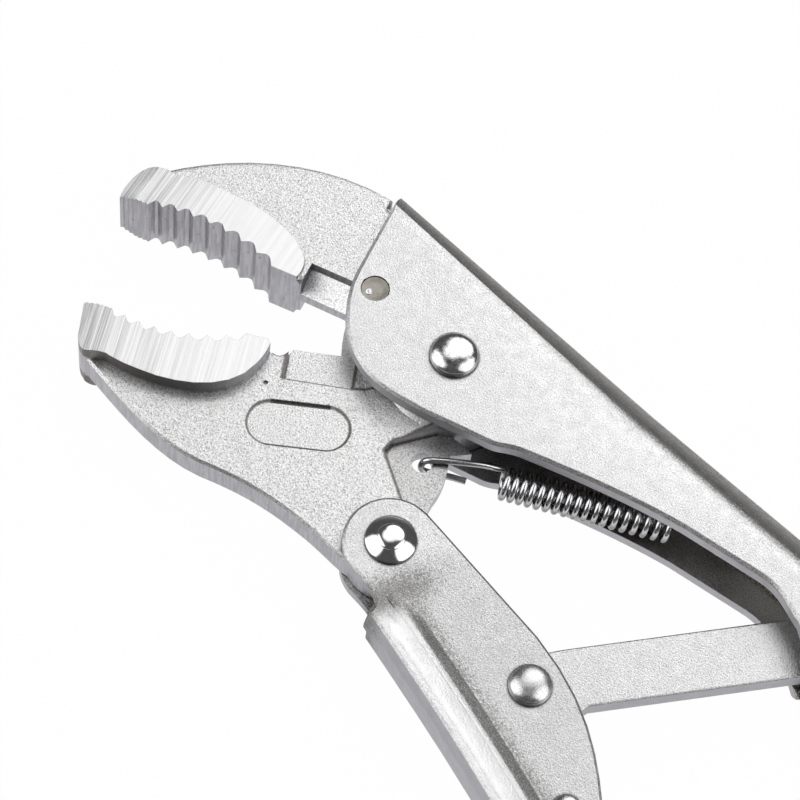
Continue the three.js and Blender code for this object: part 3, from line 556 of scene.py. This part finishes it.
def fold_shade(finish, colours, colour, grain, back):
    """Painted shade, speckled by the grain, along the bend over the back of a folded sheet."""
    up = finish.facing()[1] * back
    fold = up.ramp(0.12, 0.4) * up.ramp(0.7, 0.93, 1.0, 0.0)
    # The painted shade lies where the bend turns towards the back.
    wear_and_shade = (fold + (0.5 - grain) * 1.4).ramp(0.25, 1.0) * fold.ramp(0.0, 0.2)
    return finish.mix(wear_and_shade * 0.8, colour, colours.pit_and_shade)


def shaded_hollow(finish, colours, colour, grain, inside, back, end):
    """Painted shade on the inner faces of a folded sheet, short of an end."""
    x, y, z = finish.on_tool()
    face_x, face_y, face_z = finish.facing()
    # Painted shade on the faces that look into the hollow.
    hidden = abs(z).ramp(inside - 0.15, inside, 1.0, 0.0) * (z * face_z).ramp(0.1, 0.6, 1.0, 0.0)
    hidden = hidden * (face_y * back).ramp(0.1, 0.4, 1.0, 0.0)
    hidden = hidden * x.ramp(end, end + 3.0, 1.0, 0.0)
    dark = finish.mix(grain.ramp(0.42, 0.66), colours.pit_and_shade, colours.inside)
    return finish.mix(hidden * 0.95, colour, dark)


def plated_finish(name, colours, inside=0.0, back=1.0, end=200.0, pressed=False):
    """Nickel plate over blasted sheet.

    A folded sheet gets painted shade in its hollow, closer to the middle than inside, short of the
    end, and, unless pressed, along the bend over its back. A pressed sheet gets painted shade and a
    painted highlight round its press line.
    Its back points along Y, or against it.
    """
    finish = Finish(name)
    grain, pits = pebbled(finish, 0.24)
    colour = plate(finish, colours, colours.plated, grain, pits)
    if pressed:
        colour = press_shade_and_highlight(finish, colours, colour, grain)
    elif inside:
        colour = fold_shade(finish, colours, colour, grain, back)
    if inside:
        colour = shaded_hollow(finish, colours, colour, grain, inside, back, end)
    tilt = abs(finish.facing()[2])
    cloudy = finish.noise(1.6, 2.0).ramp(0.3, 0.7, 0.28, 0.36)
    roughness = cloudy + tilt.ramp(0.6, 0.98, 0.14, 0.0)
    level = tilt.ramp(0.5, 0.8) * 0.2 if pressed else None
    return finish.metal(colour, roughness, grain, 0.06, 0.9, level)


def tooth_steel(finish, colours):
    """The colour of broached teeth: dull lines down the tooth, with dark spots."""
    along = finish.add(
        "ShaderNodeMapping", None, {"Vector": finish.place(), "Scale": (2.2, 2.2, 0.25)}
    )
    lines = finish.noise(1.0, 2.0, 0.5, 0.0, along.outputs[0])
    bite = finish.mix(lines.ramp(0.35, 0.65), colours.cut_edge, shade(colours.cut_edge, 0.78))
    spots = finish.noise(0.7, 2.0, 0.6).ramp(0.27, 0.33, 0.8, 0.0)
    return finish.mix(spots, bite, colours.pit_and_shade)


def shade_creases(finish, colours, colour, grain, creases):
    """Painted shade along creases, each given by its two ends, its radius about their run, and its
    width.
    """
    x, y, z = finish.on_tool()
    clean = None
    for first, last, radius, width in creases:
        gap = abs(finish.away(x, y, first, last) - radius) + (grain - 0.5) * width
        beyond = gap.ramp(width * 0.3, width)
        clean = beyond if clean is None else clean.least(beyond)
    return finish.mix((1 - clean) * 0.8, colour, colours.deep_shade)


def jaw_finish(name, colours, start, across, lines, slope=(0.0, 0.0), creases=(), moving=False):
    """A plated forging with bright ground faces that carry grinding lines.

    The ground faces are the widest of the jaw, and lie also beyond the line through start with
    the normal across, where the tip is ground thinner. The lines run at an angle in degrees. The
    cutter's faces are lit as if they had a slope. The moving jaw gets painted shade on the wall
    under its ground face, darker where it faces down, and on its recessed spring ear.
    """
    finish = Finish(name)
    grain, pits = pebbled(finish, 0.27)
    x, y, z = finish.on_tool()
    tilt = abs(finish.facing()[2])
    tipward = (x - start[0]) * across[0] + (y - start[1]) * across[1]
    thin = tipward.ramp(-0.05, 0.05) * abs(z).ramp(3.4, 3.6)
    widest = abs(z).ramp(GROUND_HEIGHT - 0.12, GROUND_HEIGHT - 0.04)
    ground = widest.most(thin) * tilt.ramp(0.80, 0.88)
    fine = finish.noise(
        1.0, 3.0, 0.65, 0.0, finish.turned_place(PIVOT, lines, (0.04, 5.5, 1.0))
    )
    broad = finish.noise(
        1.0, 2.0, 0.5, 0.0, finish.turned_place(PIVOT, lines, (0.03, 1.1, 1.0))
    )
    streak = fine.ramp(0.40, 0.60, 1.0, 0.0) * 0.55 + broad.ramp(0.38, 0.6, 1.0, 0.0) * 0.45
    streak = streak * tipward.ramp(-15.0, 1.0, 0.25, 1.0)
    steel = finish.mix(streak, colours.ground, shade(colours.ground, 0.5))

    colour = plate(finish, colours, colours.forged, grain, pits, depth=0.78, flat=0.8, halo_shade=0.2)
    if creases:
        colour = shade_creases(finish, colours, colour, grain, creases)
    colour = finish.mix(tilt.ramp(0.3, 0.5, 1.0, 0.0), colour, tooth_steel(finish, colours))
    if moving:
        # Painted shade on the recessed spring ear.
        ear = abs(z).ramp(1.1, 1.5, 1.0, 0.0) * tilt.ramp(0.9, 0.95) * x.ramp(-2.0, -1.0)
        colour = finish.mix(ear * 0.2, colour, colours.deep_shade)
        # Painted shade on the wall under the ground face, darker where it faces down: a shaded copy
        # of the plate, broken up by the grain.
        down = 0 - finish.facing()[1]
        wall = abs(z).ramp(2.6, 2.9) * tilt.ramp(0.4, 0.6, 1.0, 0.0) * down.ramp(-0.2, 0.2)
        shade_and_grain = down.ramp(0.55, 0.97) * 0.75 + (0.5 - grain) * 0.5
        colour = finish.mix(
            wall, colour, finish.mix(shade_and_grain, shade(colours.plated, 0.34), colours.deep_shade)
        )
    colour = finish.mix(ground, colour, steel)

    roughness = 0.34 - ground * 0.05
    blades = abs(z).ramp(4.0, 4.1, 1.0, 0.0) * tilt.ramp(0.76, 0.8)
    relief = grain * (1 - ground) + fine * ground * 0.25
    lean = (blades * slope[0], blades * slope[1])
    return finish.metal(colour, roughness, relief, 0.075, 0.9, thin.most(blades) * 0.88, lean)


def chrome_finish(name, colours, wear_and_shade):
    """Polished plate with more or less wear: fine marks, and painted shade on the steep faces round
    the rim.
    """
    finish = Finish(name)
    marks = finish.noise(0.35, 4.0, 0.7)
    roughness = marks.ramp(0.3, 0.75, 0.06, 0.1 + 0.12 * wear_and_shade)
    # Painted shade on the steep faces of the head.
    rim = abs(finish.facing()[2]).ramp(0.25, 0.55, 0.8, 0.0)
    colour = finish.mix(rim, colours.chrome, colours.pit_and_shade)
    smear = finish.noise(0.8, 3.0, 0.6).ramp(0.45, 0.62, 0.0, 0.3 * wear_and_shade)
    colour = finish.mix(smear, colour, colours.pit_and_shade)
    return finish.metal(colour, roughness, marks, 0.01 + 0.01 * wear_and_shade, 0.3 + 0.3 * wear_and_shade)


def satin_finish(name, colours, tint=None, rough=0.22):
    """Tumbled steel: an even sheen with a fine grain, and painted shade on its steep sides."""
    finish = Finish(name)
    grain = finish.noise(0.22, 2.0, 0.6)
    roughness = finish.noise(1.3, 2.0).ramp(0.3, 0.7, rough, rough + 0.1)
    tilt = abs(finish.facing()[2])
    # Painted shade on the steep sides of the heads.
    base = finish.mix(tilt.ramp(0.2, 0.6, 0.6, 0.0), tint or colours.satin, colours.pit_and_shade)
    colour = finish.mix(grain.ramp(0.3, 0.5, 0.3, 0.0), base, colours.pit_and_shade)
    return finish.metal(colour, roughness, grain, 0.03, 0.6)


def turned_steel_finish(name, colours):
    """Bright machined steel with fine rings round the screw's axis, and painted shade in its
    grooves.
    """
    finish = Finish(name)
    x, y, z = finish.axes(finish.place())
    rings = (x * (2 * math.pi / (0.16 * MM))).sine()  # 0.16 mm apart
    grain = finish.noise(0.5, 3.0, 0.6)
    roughness = grain.ramp(0.3, 0.7, 0.2, 0.34)
    colour = finish.mix(grain.ramp(0.35, 0.6, 0.15, 0.0), colours.screw, colours.pit_and_shade)
    # Painted shade in the grooves of the thread and the knurl, from their occlusion.
    colour = finish.mix(occlusion_shade(finish, 0.6) * 0.7, colour, colours.pit_and_shade)
    return finish.metal(colour, roughness, rings * 0.15 + grain * 0.5, 0.004, 0.4)


def wire_finish(name, colours):
    """Bright spring wire from the drawing die, with painted shade underneath and between its turns.
    """
    finish = Finish(name)
    grain = finish.noise(0.3, 3.0, 0.6)
    # Painted shade on the faces that look down.
    under = finish.facing()[2].ramp(-0.1, 0.7, 0.9, 0.0)
    # Painted shade between the turns, from their occlusion, with dark specks of grain.
    shade_and_grain = grain.ramp(0.3, 0.55, 0.25, 0.0).most(under).most(occlusion_shade(finish, 0.6, 0.4, 0.8) * 0.8)
    colour = finish.mix(shade_and_grain, colours.wire, colours.pit_and_shade)
    return finish.metal(colour, grain.ramp(0.3, 0.7, 0.14, 0.26), grain, 0.01, 0.4)


def floor_finish(name, colour):
    """The plain pale floor: white to the camera, with the tool's shadow kept on it."""
    finish = Finish(name)
    lit = finish.add("ShaderNodeBsdfDiffuse", None, {"Color": (*colour, 1.0)})
    white = finish.add("ShaderNodeEmission", None, {"Color": (1, 1, 1, 1), "Strength": 1.0})
    rays = finish.add("ShaderNodeLightPath").outputs
    seen = Number(finish, rays["Is Camera Ray"]).most(Number(finish, rays["Is Transmission Ray"]))
    seen = seen.most(Number(finish, rays["Is Glossy Ray"]))
    surface = finish.add(
        "ShaderNodeMixShader",
        None,
        {0: seen * FLOOR_WHITE, 1: lit.outputs[0], 2: white.outputs[0]},
    )
    finish.add("ShaderNodeOutputMaterial", None, {"Surface": surface.outputs[0]})
    return finish.material


# ---------------------------------------------------------------- settings


def colour_property(name, description, default):
    """A colour that the user can change."""
    return bpy.props.FloatVectorProperty(
        name=name,
        description=description,
        default=default,
        subtype="COLOR",
        size=3,
        min=0.0,
        max=1.0,
    )


def size_property(name, description, default):
    """A length in metres that the user can change."""
    return bpy.props.FloatProperty(
        name=name,
        description=description,
        default=default,
        min=0.0,
        unit="LENGTH",
        subtype="DISTANCE",
    )


class PliersColours(bpy.types.PropertyGroup):
    """The colours of the tool's finishes and of the floor."""

    plated: colour_property("Plated sheet", "Nickel plate over blasted sheet", (0.84, 0.84, 0.845))
    forged: colour_property("Plated jaws", "Plate over blasted forgings", (0.95, 0.95, 0.95))
    ground: colour_property("Ground steel", "Ground faces beside the teeth", (0.79, 0.79, 0.795))
    cut_edge: colour_property("Cut edge", "Sheet edges and steep sides", (0.43, 0.42, 0.45))
    # The colour of the painted shade in the hollows of the folded handles.
    inside: colour_property("Inside", "Dull plate inside the handles", (0.66, 0.625, 0.57))
    # The colour of the pits, and also of painted shade in the bends, round raised parts, in the
    # hollows, along the fold and on the steep sides of the heads.
    pit_and_shade: colour_property("Pits", "Bottom of the pits and bends", (0.12, 0.113, 0.105))
    # Painted shade: in the deepest creases, along the creases of the moving jaw's web, on its
    # recessed spring ear and on the wall under its teeth.
    deep_shade: colour_property("Stain", "Soil in the deepest creases", (0.06, 0.048, 0.041))
    pin: colour_property("Pin end", "Sunk end of the jaw pin", (0.42, 0.395, 0.355))
    chrome: colour_property("Polished heads", "Polished rivet heads", (0.86, 0.86, 0.88))
    satin: colour_property("Satin heads", "Tumbled rivet heads and pin", (0.75, 0.75, 0.76))
    screw: colour_property("Screw", "Machined screw and knob", (0.72, 0.72, 0.73))
    wire: colour_property("Spring wire", "Drawn wire of the spring", (0.78, 0.78, 0.80))
    floor: colour_property("Floor", "Plain floor", (0.96, 0.96, 0.96))


class PliersSizes(bpy.types.PropertyGroup):
    """The fine sizes that the finished pieces add to the tool."""

    sheet_edge: size_property("Sheet edge", "Rounding of the sheet edges", 0.3 * MM)
    forged_edge: size_property("Forged edge", "Rounding of the forged edges", 0.3 * MM)
    wire: size_property("Wire", "Diameter of the spring wire", 0.96 * MM)
    pitch: size_property("Thread pitch", "Pitch of the adjusting screw", 1.25 * MM)


# ---------------------------------------------------------------- pieces


class PLIERS_OT_upper_handle(bpy.types.Operator):
    """Finishes the folded and rolled sheet of the upper handle"""

    bl_idname = "pliers.upper_handle"
    bl_label = "Upper Handle"

    def execute(self, context):
        colours = context.scene.pliers_colours
        sizes = context.scene.pliers_sizes
        handle = finished_copy("upper_handle", "upper_handle_sheet")
        round_edges(handle, sizes.sheet_edge / MM)
        material = plated_finish("Plated upper handle", colours, inside=4.85, end=66.0)
        finish_piece(handle, material, "upper_handle", "plated_sheet", "upper_handle")
        tab = finished_copy("spring_tab", "spring_tab_sheet")
        round_edges(tab, 0.15, 2)
        finish_piece(tab, material, "upper_handle", "plated_sheet", "spring_tab")
        return {"FINISHED"}


class PLIERS_OT_jaws(bpy.types.Operator):
    """Finishes the two forged jaws"""

    bl_idname = "pliers.jaws"
    bl_label = "Jaws"

    def execute(self, context):
        colours = context.scene.pliers_colours
        sizes = context.scene.pliers_sizes
        rounding = sizes.forged_edge / MM * 0.5
        upper = finished_copy("upper_jaw", "upper_jaw_forging")
        round_edges(upper, rounding, 2)
        material = jaw_finish(
            "Forged upper jaw",
            colours,
            start=(-51.7, -7.1),
            across=(-0.956, -0.292),
            lines=103,
            slope=(-0.12, -0.36),
        )
        finish_piece(upper, material, "upper_handle", "jaw_steel", "upper_jaw")
        lower = finished_copy("lower_jaw", "lower_jaw_forging")
        round_edges(lower, rounding, 2)
        material = jaw_finish(
            "Forged lower jaw",
            colours,
            start=(-41.4, -28.6),
            across=(-0.795, -0.607),
            lines=120,
            creases=LOWER_JAW_CREASES,
            moving=True,
        )
        finish_piece(lower, material, "lower_jaw", "jaw_steel", "lower_jaw")
        return {"FINISHED"}


class PLIERS_OT_lower_handle(bpy.types.Operator):
    """Finishes the pressed sheet of the lower handle"""

    bl_idname = "pliers.lower_handle"
    bl_label = "Lower Handle"

    def execute(self, context):
        colours = context.scene.pliers_colours
        sizes = context.scene.pliers_sizes
        handle = finished_copy("lower_handle", "lower_handle_sheet", 0.05)
        round_edges(handle, sizes.sheet_edge / MM * 0.8)
        finish_piece(
            handle,
            plated_finish("Plated lower handle", colours, inside=2.75, back=-1.0, pressed=True),
            "lower_handle",
            "plated_sheet",
            "lower_handle",
        )
        return {"FINISHED"}


class PLIERS_OT_linkage(bpy.types.Operator):
    """Finishes the toggle link and the release lever"""

    bl_idname = "pliers.linkage"
    bl_label = "Link and Lever"

    def execute(self, context):
        colours = context.scene.pliers_colours
        material = plated_finish("Plated link", colours)
        link = finished_copy("toggle_link", "toggle_link_bar")
        round_edges(link, 0.3)
        finish_piece(link, material, "toggle_link", "plated_sheet", "toggle_link")
        lever = finished_copy("release_lever", "release_lever_sheet")
        round_edges(lever, 0.25)
        finish_piece(lever, material, "release_lever", "plated_sheet", "release_lever")
        return {"FINISHED"}


class PLIERS_OT_rivets(bpy.types.Operator):
    """Turns the four rivets and the jaw pin"""

    bl_idname = "pliers.rivets"
    bl_label = "Rivets and Pin"

    def rivet(self, name, node, body, slot, material, profile):
        """Turns a rivet or pin where its node is."""
        centre = middle(node)
        piece = turned(name, profile)
        place(piece, Vector((centre.x, centre.y, SCREW_AXIS.z)))
        smooth(piece, 28)
        finish_piece(piece, material, body, slot, node)

    def profile(self, seat, shank, head, rim, base, crown):
        """Rings from a rivet's formed tail, over its shank, to the top of its dome.

        The seat is where the head lies, the rim is a list of heights over the seat and how far
        each lies in from the head's radius. The dome starts from the last of them, at a base.
        """
        tail = head - 0.5
        rings = [
            (tail * 0.08, -seat - 0.6),
            (tail - 0.45, -seat - 0.6),
            (tail - 0.18, -seat - 0.54),
            (tail - 0.04, -seat - 0.4),
            (tail, -seat - 0.24),
            (tail, -seat),
            (shank, -seat),
            (shank, seat),
            (head - 0.1, seat),
            (head - 0.02, seat + 0.06),
            (head, seat + 0.16),
        ]
        rings += [(head - inset, seat + height) for height, inset in rim]
        return rings + dome(rings[-1][0], seat + base, crown)

    def execute(self, context):
        colours = context.scene.pliers_colours
        wear_and_shade = chrome_finish("Worn polished rivet", colours, 1.0)
        chrome = chrome_finish("Polished rivet", colours, 0.3)
        satin = satin_finish("Satin rivets", colours)
        rim = ((0.42, 0), (0.54, 0.03), (0.64, 0.1))
        main = self.profile(HANDLE_SEAT, 3.2, 3.5, rim, 0.66, 1.03)
        self.rivet("main_rivet_head", "main_rivet", "upper_handle", "rivet_chrome", wear_and_shade, main)
        cone = ((0.36, 0), (0.46, 0.04), (0.54, 0.14), (0.93, 1.05), (1.18, 1.6))
        handle = self.profile(LUG_SEAT, 3.0, 3.6, cone, 1.18, 0.38)
        self.rivet(
            "handle_rivet_head", "handle_rivet", "lower_handle", "rivet_chrome", chrome, handle
        )
        rim = ((0.36, 0), (0.5, 0.04), (0.6, 0.12))
        link = self.profile(LUG_SEAT, 2.4, 3.0, rim, 0.62, 1.05)
        self.rivet("link_rivet_head", "link_rivet", "lower_handle", "rivet_satin", satin, link)
        lever = self.profile(LUG_SEAT, 1.5, 2.05, ((0.3, 0), (0.46, 0.1)), 0.48, 0.7)
        self.rivet("lever_rivet_head", "lever_rivet", "lower_handle", "rivet_satin", satin, lever)
        self.pin(colours, satin)
        return {"FINISHED"}

    def pin(self, colours, satin):
        """Turns the jaw pin, with its dished end just under the sheet, and the nib left in it."""
        sunk = 6.8
        pin = [(0.1, 0.4 - sunk), (1.9, 0.4 - sunk), (2.0, 0.5 - sunk), (2.0, sunk - 0.1)]
        pin += [(1.94, sunk), (1.82, sunk), (1.5, sunk - 0.12), (0.9, sunk - 0.16)]
        pin += [(0.1, sunk - 0.17)]
        dull = satin_finish("Pin end", colours, colours.pin, 0.4)
        self.rivet("jaw_pin_end", "upper_jaw_pin", "upper_handle", "rivet_satin", dull, pin)
        nib = [(0.55, sunk - 0.4), (0.55, sunk - 0.12), (0.5, sunk - 0.06), (0.4, sunk - 0.04)]
        nib += [(0.3, sunk - 0.09), (0.2, sunk - 0.06), (0.1, sunk - 0.04), (0.03, sunk - 0.03)]
        centre = middle("upper_jaw_pin")
        piece = turned("jaw_pin_nib", nib, 32)
        place(piece, Vector((centre.x - 0.4 * MM, centre.y - 0.85 * MM, SCREW_AXIS.z)))
        smooth(piece, 50)
        finish_piece(piece, satin, "upper_handle", "rivet_satin")


class PLIERS_OT_spring(bpy.types.Operator):
    """Winds the return spring with its two hooks"""

    bl_idname = "pliers.spring"
    bl_label = "Return Spring"

    def line(self, reach, wire):
        """The wire's middle from hook to hook, in millimetres from the ear hole."""
        face = 1.0 + wire / 2 + 0.1  # from the middle of the ear to the wire on its face
        coil = (5.0 - wire) / 2
        points = [(6.5, 0.1, -face), (4.2, 0.2, -face), (1.2, 0.1, -face), (0.25, 0, -face + 0.5)]
        points += [(-0.05, 0, 0), (0.25, 0.2, face - 0.5), (1.0, 0.35, face), (2.6, 0.7, face)]
        points += [(4.2, 1.0, face), (8.0, 1.75, face - 0.3), (10.2, 2.15, face - 0.9)]
        turns, start, length, lift, spread = 18, 11.3, 24.6, 0.4, 0.12
        steps = 8 * turns
        for step in range(steps + 1):
            share = step / steps
            angle = 2 * math.pi * turns * share
            y = lift * (1 - share) + coil * math.cos(angle)
            along = start + length * ((1 - spread) * share + spread * share * share)
            points.append((along, y, -coil * math.sin(angle)))
        hook = 1.55
        bends = 8
        for step in range(bends + 1):
            angle = math.pi / 2 - math.pi * step / bends
            points.append((reach - hook + hook * math.cos(angle), 0, hook * math.sin(angle)))
        points.append((reach - 4.2, 0, -hook))
        return [Vector(point) for point in points]

    def eased(self, points, steps):
        """A smooth run through the points."""
        run = []
        last = len(points) - 1
        for i in range(last):
            before, here = points[max(i - 1, 0)], points[i]
            there, after = points[i + 1], points[min(i + 2, last)]
            for step in range(steps):
                t = step / steps
                run.append(
                    0.5
                    * (
                        2 * here
                        + (there - before) * t
                        + (2 * before - 5 * here + 4 * there - after) * t * t
                        + (3 * here - before - 3 * there + after) * t * t * t
                    )
                )
        run.append(points[last])
        return run

    def execute(self, context):
        colours = context.scene.pliers_colours
        wire = context.scene.pliers_sizes.wire / MM
        ear = on_tool(*EAR_HOLE)
        anchor = on_tool(*SPRING_ANCHOR)
        along = anchor - ear
        points = self.eased(self.line(along.length / MM, wire), 4)
        clear_selection()
        bpy.ops.curve.primitive_nurbs_path_add()
        piece = bpy.context.object
        piece.name = "return_spring_wire"
        piece.data.splines.clear()
        run = piece.data.splines.new("POLY")
        run.points.add(len(points) - 1)
        for point, target in zip(points, run.points):
            target.co = (*(point * MM), 1.0)
        piece.data.bevel_depth = wire / 2 * MM
        piece.data.bevel_resolution = 4
        piece.data.use_fill_caps = True
        bpy.ops.object.convert(target="MESH")
        turn = math.atan2(along.y, along.x)
        place(piece, ear, (0, 0, turn))
        smooth(piece, 60)
        piece.data.materials.clear()
        piece.data.materials.append(wire_finish("Spring wire", colours))
        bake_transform(piece)
        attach(piece, "upper_handle")
        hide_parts("return_spring")
        return {"FINISHED"}


class PLIERS_OT_screw(bpy.types.Operator):
    """Cuts the adjusting screw and knurls its knob"""

    bl_idname = "pliers.screw"
    bl_label = "Screw and Knob"

    def rod(self, length):
        """The screw's core with its nose."""
        core = 3.35
        profile = [(0.3, 0), (2.2, 0), (2.5, 0.12), (core, 1.1), (core, length - 1.0)]
        profile += [(core - 0.1, length), (0.3, length)]
        return turned("adjusting_screw_thread", profile, 48)

    def thread(self, pitch, turns):
        """A closed ridge wound on the core."""
        root, crest = 3.25, 3.98
        foot, top = 0.44 * pitch, 0.096 * pitch  # half the ridge's width
        clear_selection()
        bpy.ops.mesh.primitive_circle_add(vertices=4, radius=1.0, fill_type="NOTHING")
        ridge = bpy.context.object
        section = ((foot, root), (top, crest), (-top, crest), (-foot, root))
        for vertex, (along, out) in zip(ridge.data.vertices, section):
            vertex.co = (out * MM, 0, along * MM)
        winding = ridge.modifiers.new("Thread", "SCREW")
        winding.axis = "Z"
        winding.screw_offset = pitch * MM
        winding.iterations = turns
        winding.steps = 40
        winding.render_steps = 40
        winding.use_merge_vertices = True
        pick(ridge)
        bpy.ops.object.modifier_apply(modifier=winding.name)
        bpy.ops.object.mode_set(mode="EDIT")
        bpy.ops.mesh.select_all(action="SELECT")
        bpy.ops.mesh.remove_doubles(threshold=0.001 * MM)
        bpy.ops.mesh.select_mode(type="EDGE")
        bpy.ops.mesh.select_all(action="DESELECT")
        bpy.ops.mesh.select_non_manifold()
        bpy.ops.mesh.edge_face_add()
        bpy.ops.mesh.select_all(action="SELECT")
        bpy.ops.mesh.normals_make_consistent(inside=False)
        bpy.ops.transform.translate(value=(0, 0, 1.6 * MM))
        bpy.ops.object.mode_set(mode="OBJECT")
        return ridge

    def knob(self, length):
        """The knob with its straight knurl."""
        radius = 6.4
        flutes = 20
        corners = flutes * 6
        profile = [(3.45, 5.8), (3.45, 0.5), (3.9, 0), (radius - 1.4, 0), (radius - 0.75, 0.35)]
        profile += [(radius - 0.2, 1.2), (radius, 1.9), (radius, 2.1), (radius, length - 1.9)]
        profile += [(radius, length - 1.7), (radius - 0.25, length - 0.9)]
        profile += [(radius - 0.7, length - 0.3), (radius - 1.4, length), (1.6, length)]
        profile += [(1.3, length - 0.35), (0.3, length - 0.5)]
        knob = turned("screw_knob_knurled", profile, corners)

        def in_groove(vertex):
            out = math.hypot(vertex.co.x, vertex.co.y) / MM
            on_side = 2.0 < vertex.co.z / MM < length - 1.8 and out > radius - 0.05
            corner = round(math.atan2(vertex.co.y, vertex.co.x) / (2 * math.pi) * corners)
            return on_side and corner % 6 == 3

        bpy.ops.object.mode_set(mode="EDIT")
        select_vertices(knob, in_groove)
        factor = (radius - 0.4) / radius
        bpy.ops.transform.resize(value=(factor, factor, 1), center_override=(0, 0, 0))
        bpy.ops.object.mode_set(mode="OBJECT")
        return knob

    def lay(self, piece, low):
        """Lays an upright piece along the screw's axis, its foot where a node's box starts."""
        place(piece, Vector((low.x, SCREW_AXIS.y, SCREW_AXIS.z)), (0, math.pi / 2, 0))

    def execute(self, context):
        pitch = context.scene.pliers_sizes.pitch / MM
        steel = turned_steel_finish("Machined screw", context.scene.pliers_colours)
        low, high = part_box("adjusting_screw")
        length = (high.x - low.x) / MM
        screw = self.rod(length)
        ridge = self.thread(pitch, int((length - 8.5) / pitch))
        clear_selection()
        ridge.select_set(True)
        screw.select_set(True)
        bpy.context.view_layer.objects.active = screw
        bpy.ops.object.join()
        self.lay(screw, low)
        smooth(screw, 35)
        finish_piece(screw, steel, "adjusting_screw", "screw_steel", "adjusting_screw")

        low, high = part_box("screw_knob")
        knob = self.knob((high.x - low.x) / MM)
        self.lay(knob, low)
        smooth(knob, 25)
        finish_piece(knob, steel, "screw_knob", "screw_steel", "screw_knob")
        return {"FINISHED"}


class PLIERS_OT_stage(bpy.types.Operator):
    """Lays the floor, lights the studio and sets the camera"""

    bl_idname = "pliers.stage"
    bl_label = "Studio"

    def floor(self, colours):
        """A plain floor just under the tool."""
        clear_selection()
        bpy.ops.mesh.primitive_plane_add(size=6.0, location=(0, 0, -0.05 * MM))
        floor = bpy.context.object
        floor.name = "floor"
        bpy.ops.object.transform_apply(location=True, rotation=True, scale=True)
        floor.data.materials.append(floor_finish("Pale floor", colours.floor))

    def sky(self):
        """Soft boxes all round the tool, with darker gaps between them."""
        world = bpy.data.worlds.new("Studio")
        bpy.context.scene.world = world
        studio = Finish(None, world)
        ray = studio.add("ShaderNodeTexCoord").outputs["Generated"]
        level = studio.axes(ray)[2].ramp(-0.1, 0.3, HORIZON_LIGHT, GAP_LIGHT)
        for azimuth, elevation, half, soft, strength in SOFT_BOXES:
            near = studio.number(
                "ShaderNodeVectorMath",
                {"operation": "DOT_PRODUCT"},
                {0: ray, 1: direction(azimuth, elevation)},
                1,
            )
            edge = math.cos(math.radians(half + soft)), math.cos(math.radians(half - soft))
            level = level.most(near.ramp(*edge, 0.0, strength))
        background = studio.add(
            "ShaderNodeBackground", None, {"Color": (1, 1, 1, 1), "Strength": level}
        )
        studio.add("ShaderNodeOutputWorld", None, {"Surface": background.outputs[0]})

    def camera(self):
        """A long lens above the jaws, turned a little about its own axis."""
        data = bpy.data.cameras.new("Camera")
        camera = bpy.data.objects.new("Camera", data)
        bpy.context.scene.collection.objects.link(camera)
        data.sensor_width = 36.0
        data.lens = LENS
        data.clip_start = 0.01
        data.clip_end = 50.0
        back = direction(CAMERA_AZIMUTH, CAMERA_ELEVATION)
        roll = Matrix.Rotation(math.radians(CAMERA_ROLL), 3, "Z")
        camera.rotation_mode = "QUATERNION"
        camera.location = on_tool(*CAMERA_TARGET) + back * CAMERA_DISTANCE
        tilt = (-back).to_track_quat("-Z", "Y").to_matrix()
        camera.rotation_quaternion = (tilt @ roll).to_quaternion()
        bpy.context.scene.camera = camera

    def execute(self, context):
        self.floor(context.scene.pliers_colours)
        self.sky()
        self.camera()
        context.scene.view_settings.view_transform = "Standard"
        return {"FINISHED"}


class PLIERS_PT_panel(bpy.types.Panel):
    """Lists the steps that finish the pliers"""

    bl_label = "Locking Pliers"
    bl_idname = "PLIERS_PT_panel"
    bl_space_type = "VIEW_3D"
    bl_region_type = "UI"
    bl_category = "Pliers"

    def draw(self, context):
        for settings in (context.scene.pliers_colours, context.scene.pliers_sizes):
            for key in settings.bl_rna.properties.keys():
                if key not in ("rna_type", "name"):
                    self.layout.prop(settings, key)
        for step in STEPS:
            self.layout.operator(step.bl_idname)


STEPS = (
    PLIERS_OT_upper_handle,
    PLIERS_OT_jaws,
    PLIERS_OT_lower_handle,
    PLIERS_OT_linkage,
    PLIERS_OT_rivets,
    PLIERS_OT_spring,
    PLIERS_OT_screw,
    PLIERS_OT_stage,
)

CLASSES = (PliersColours, PliersSizes, *STEPS, PLIERS_PT_panel)


def register():
    for kind in CLASSES:
        bpy.utils.register_class(kind)
    bpy.types.Scene.pliers_colours = bpy.props.PointerProperty(type=PliersColours)
    bpy.types.Scene.pliers_sizes = bpy.props.PointerProperty(type=PliersSizes)


def unregister():
    del bpy.types.Scene.pliers_sizes
    del bpy.types.Scene.pliers_colours
    for kind in reversed(CLASSES):
        bpy.utils.unregister_class(kind)


def main():
    """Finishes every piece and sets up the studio."""
    register()
    for step in STEPS:
        group, name = step.bl_idname.split(".")
        getattr(getattr(bpy.ops, group), name)()
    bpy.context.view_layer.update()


if __name__ == "__main__":
    main()
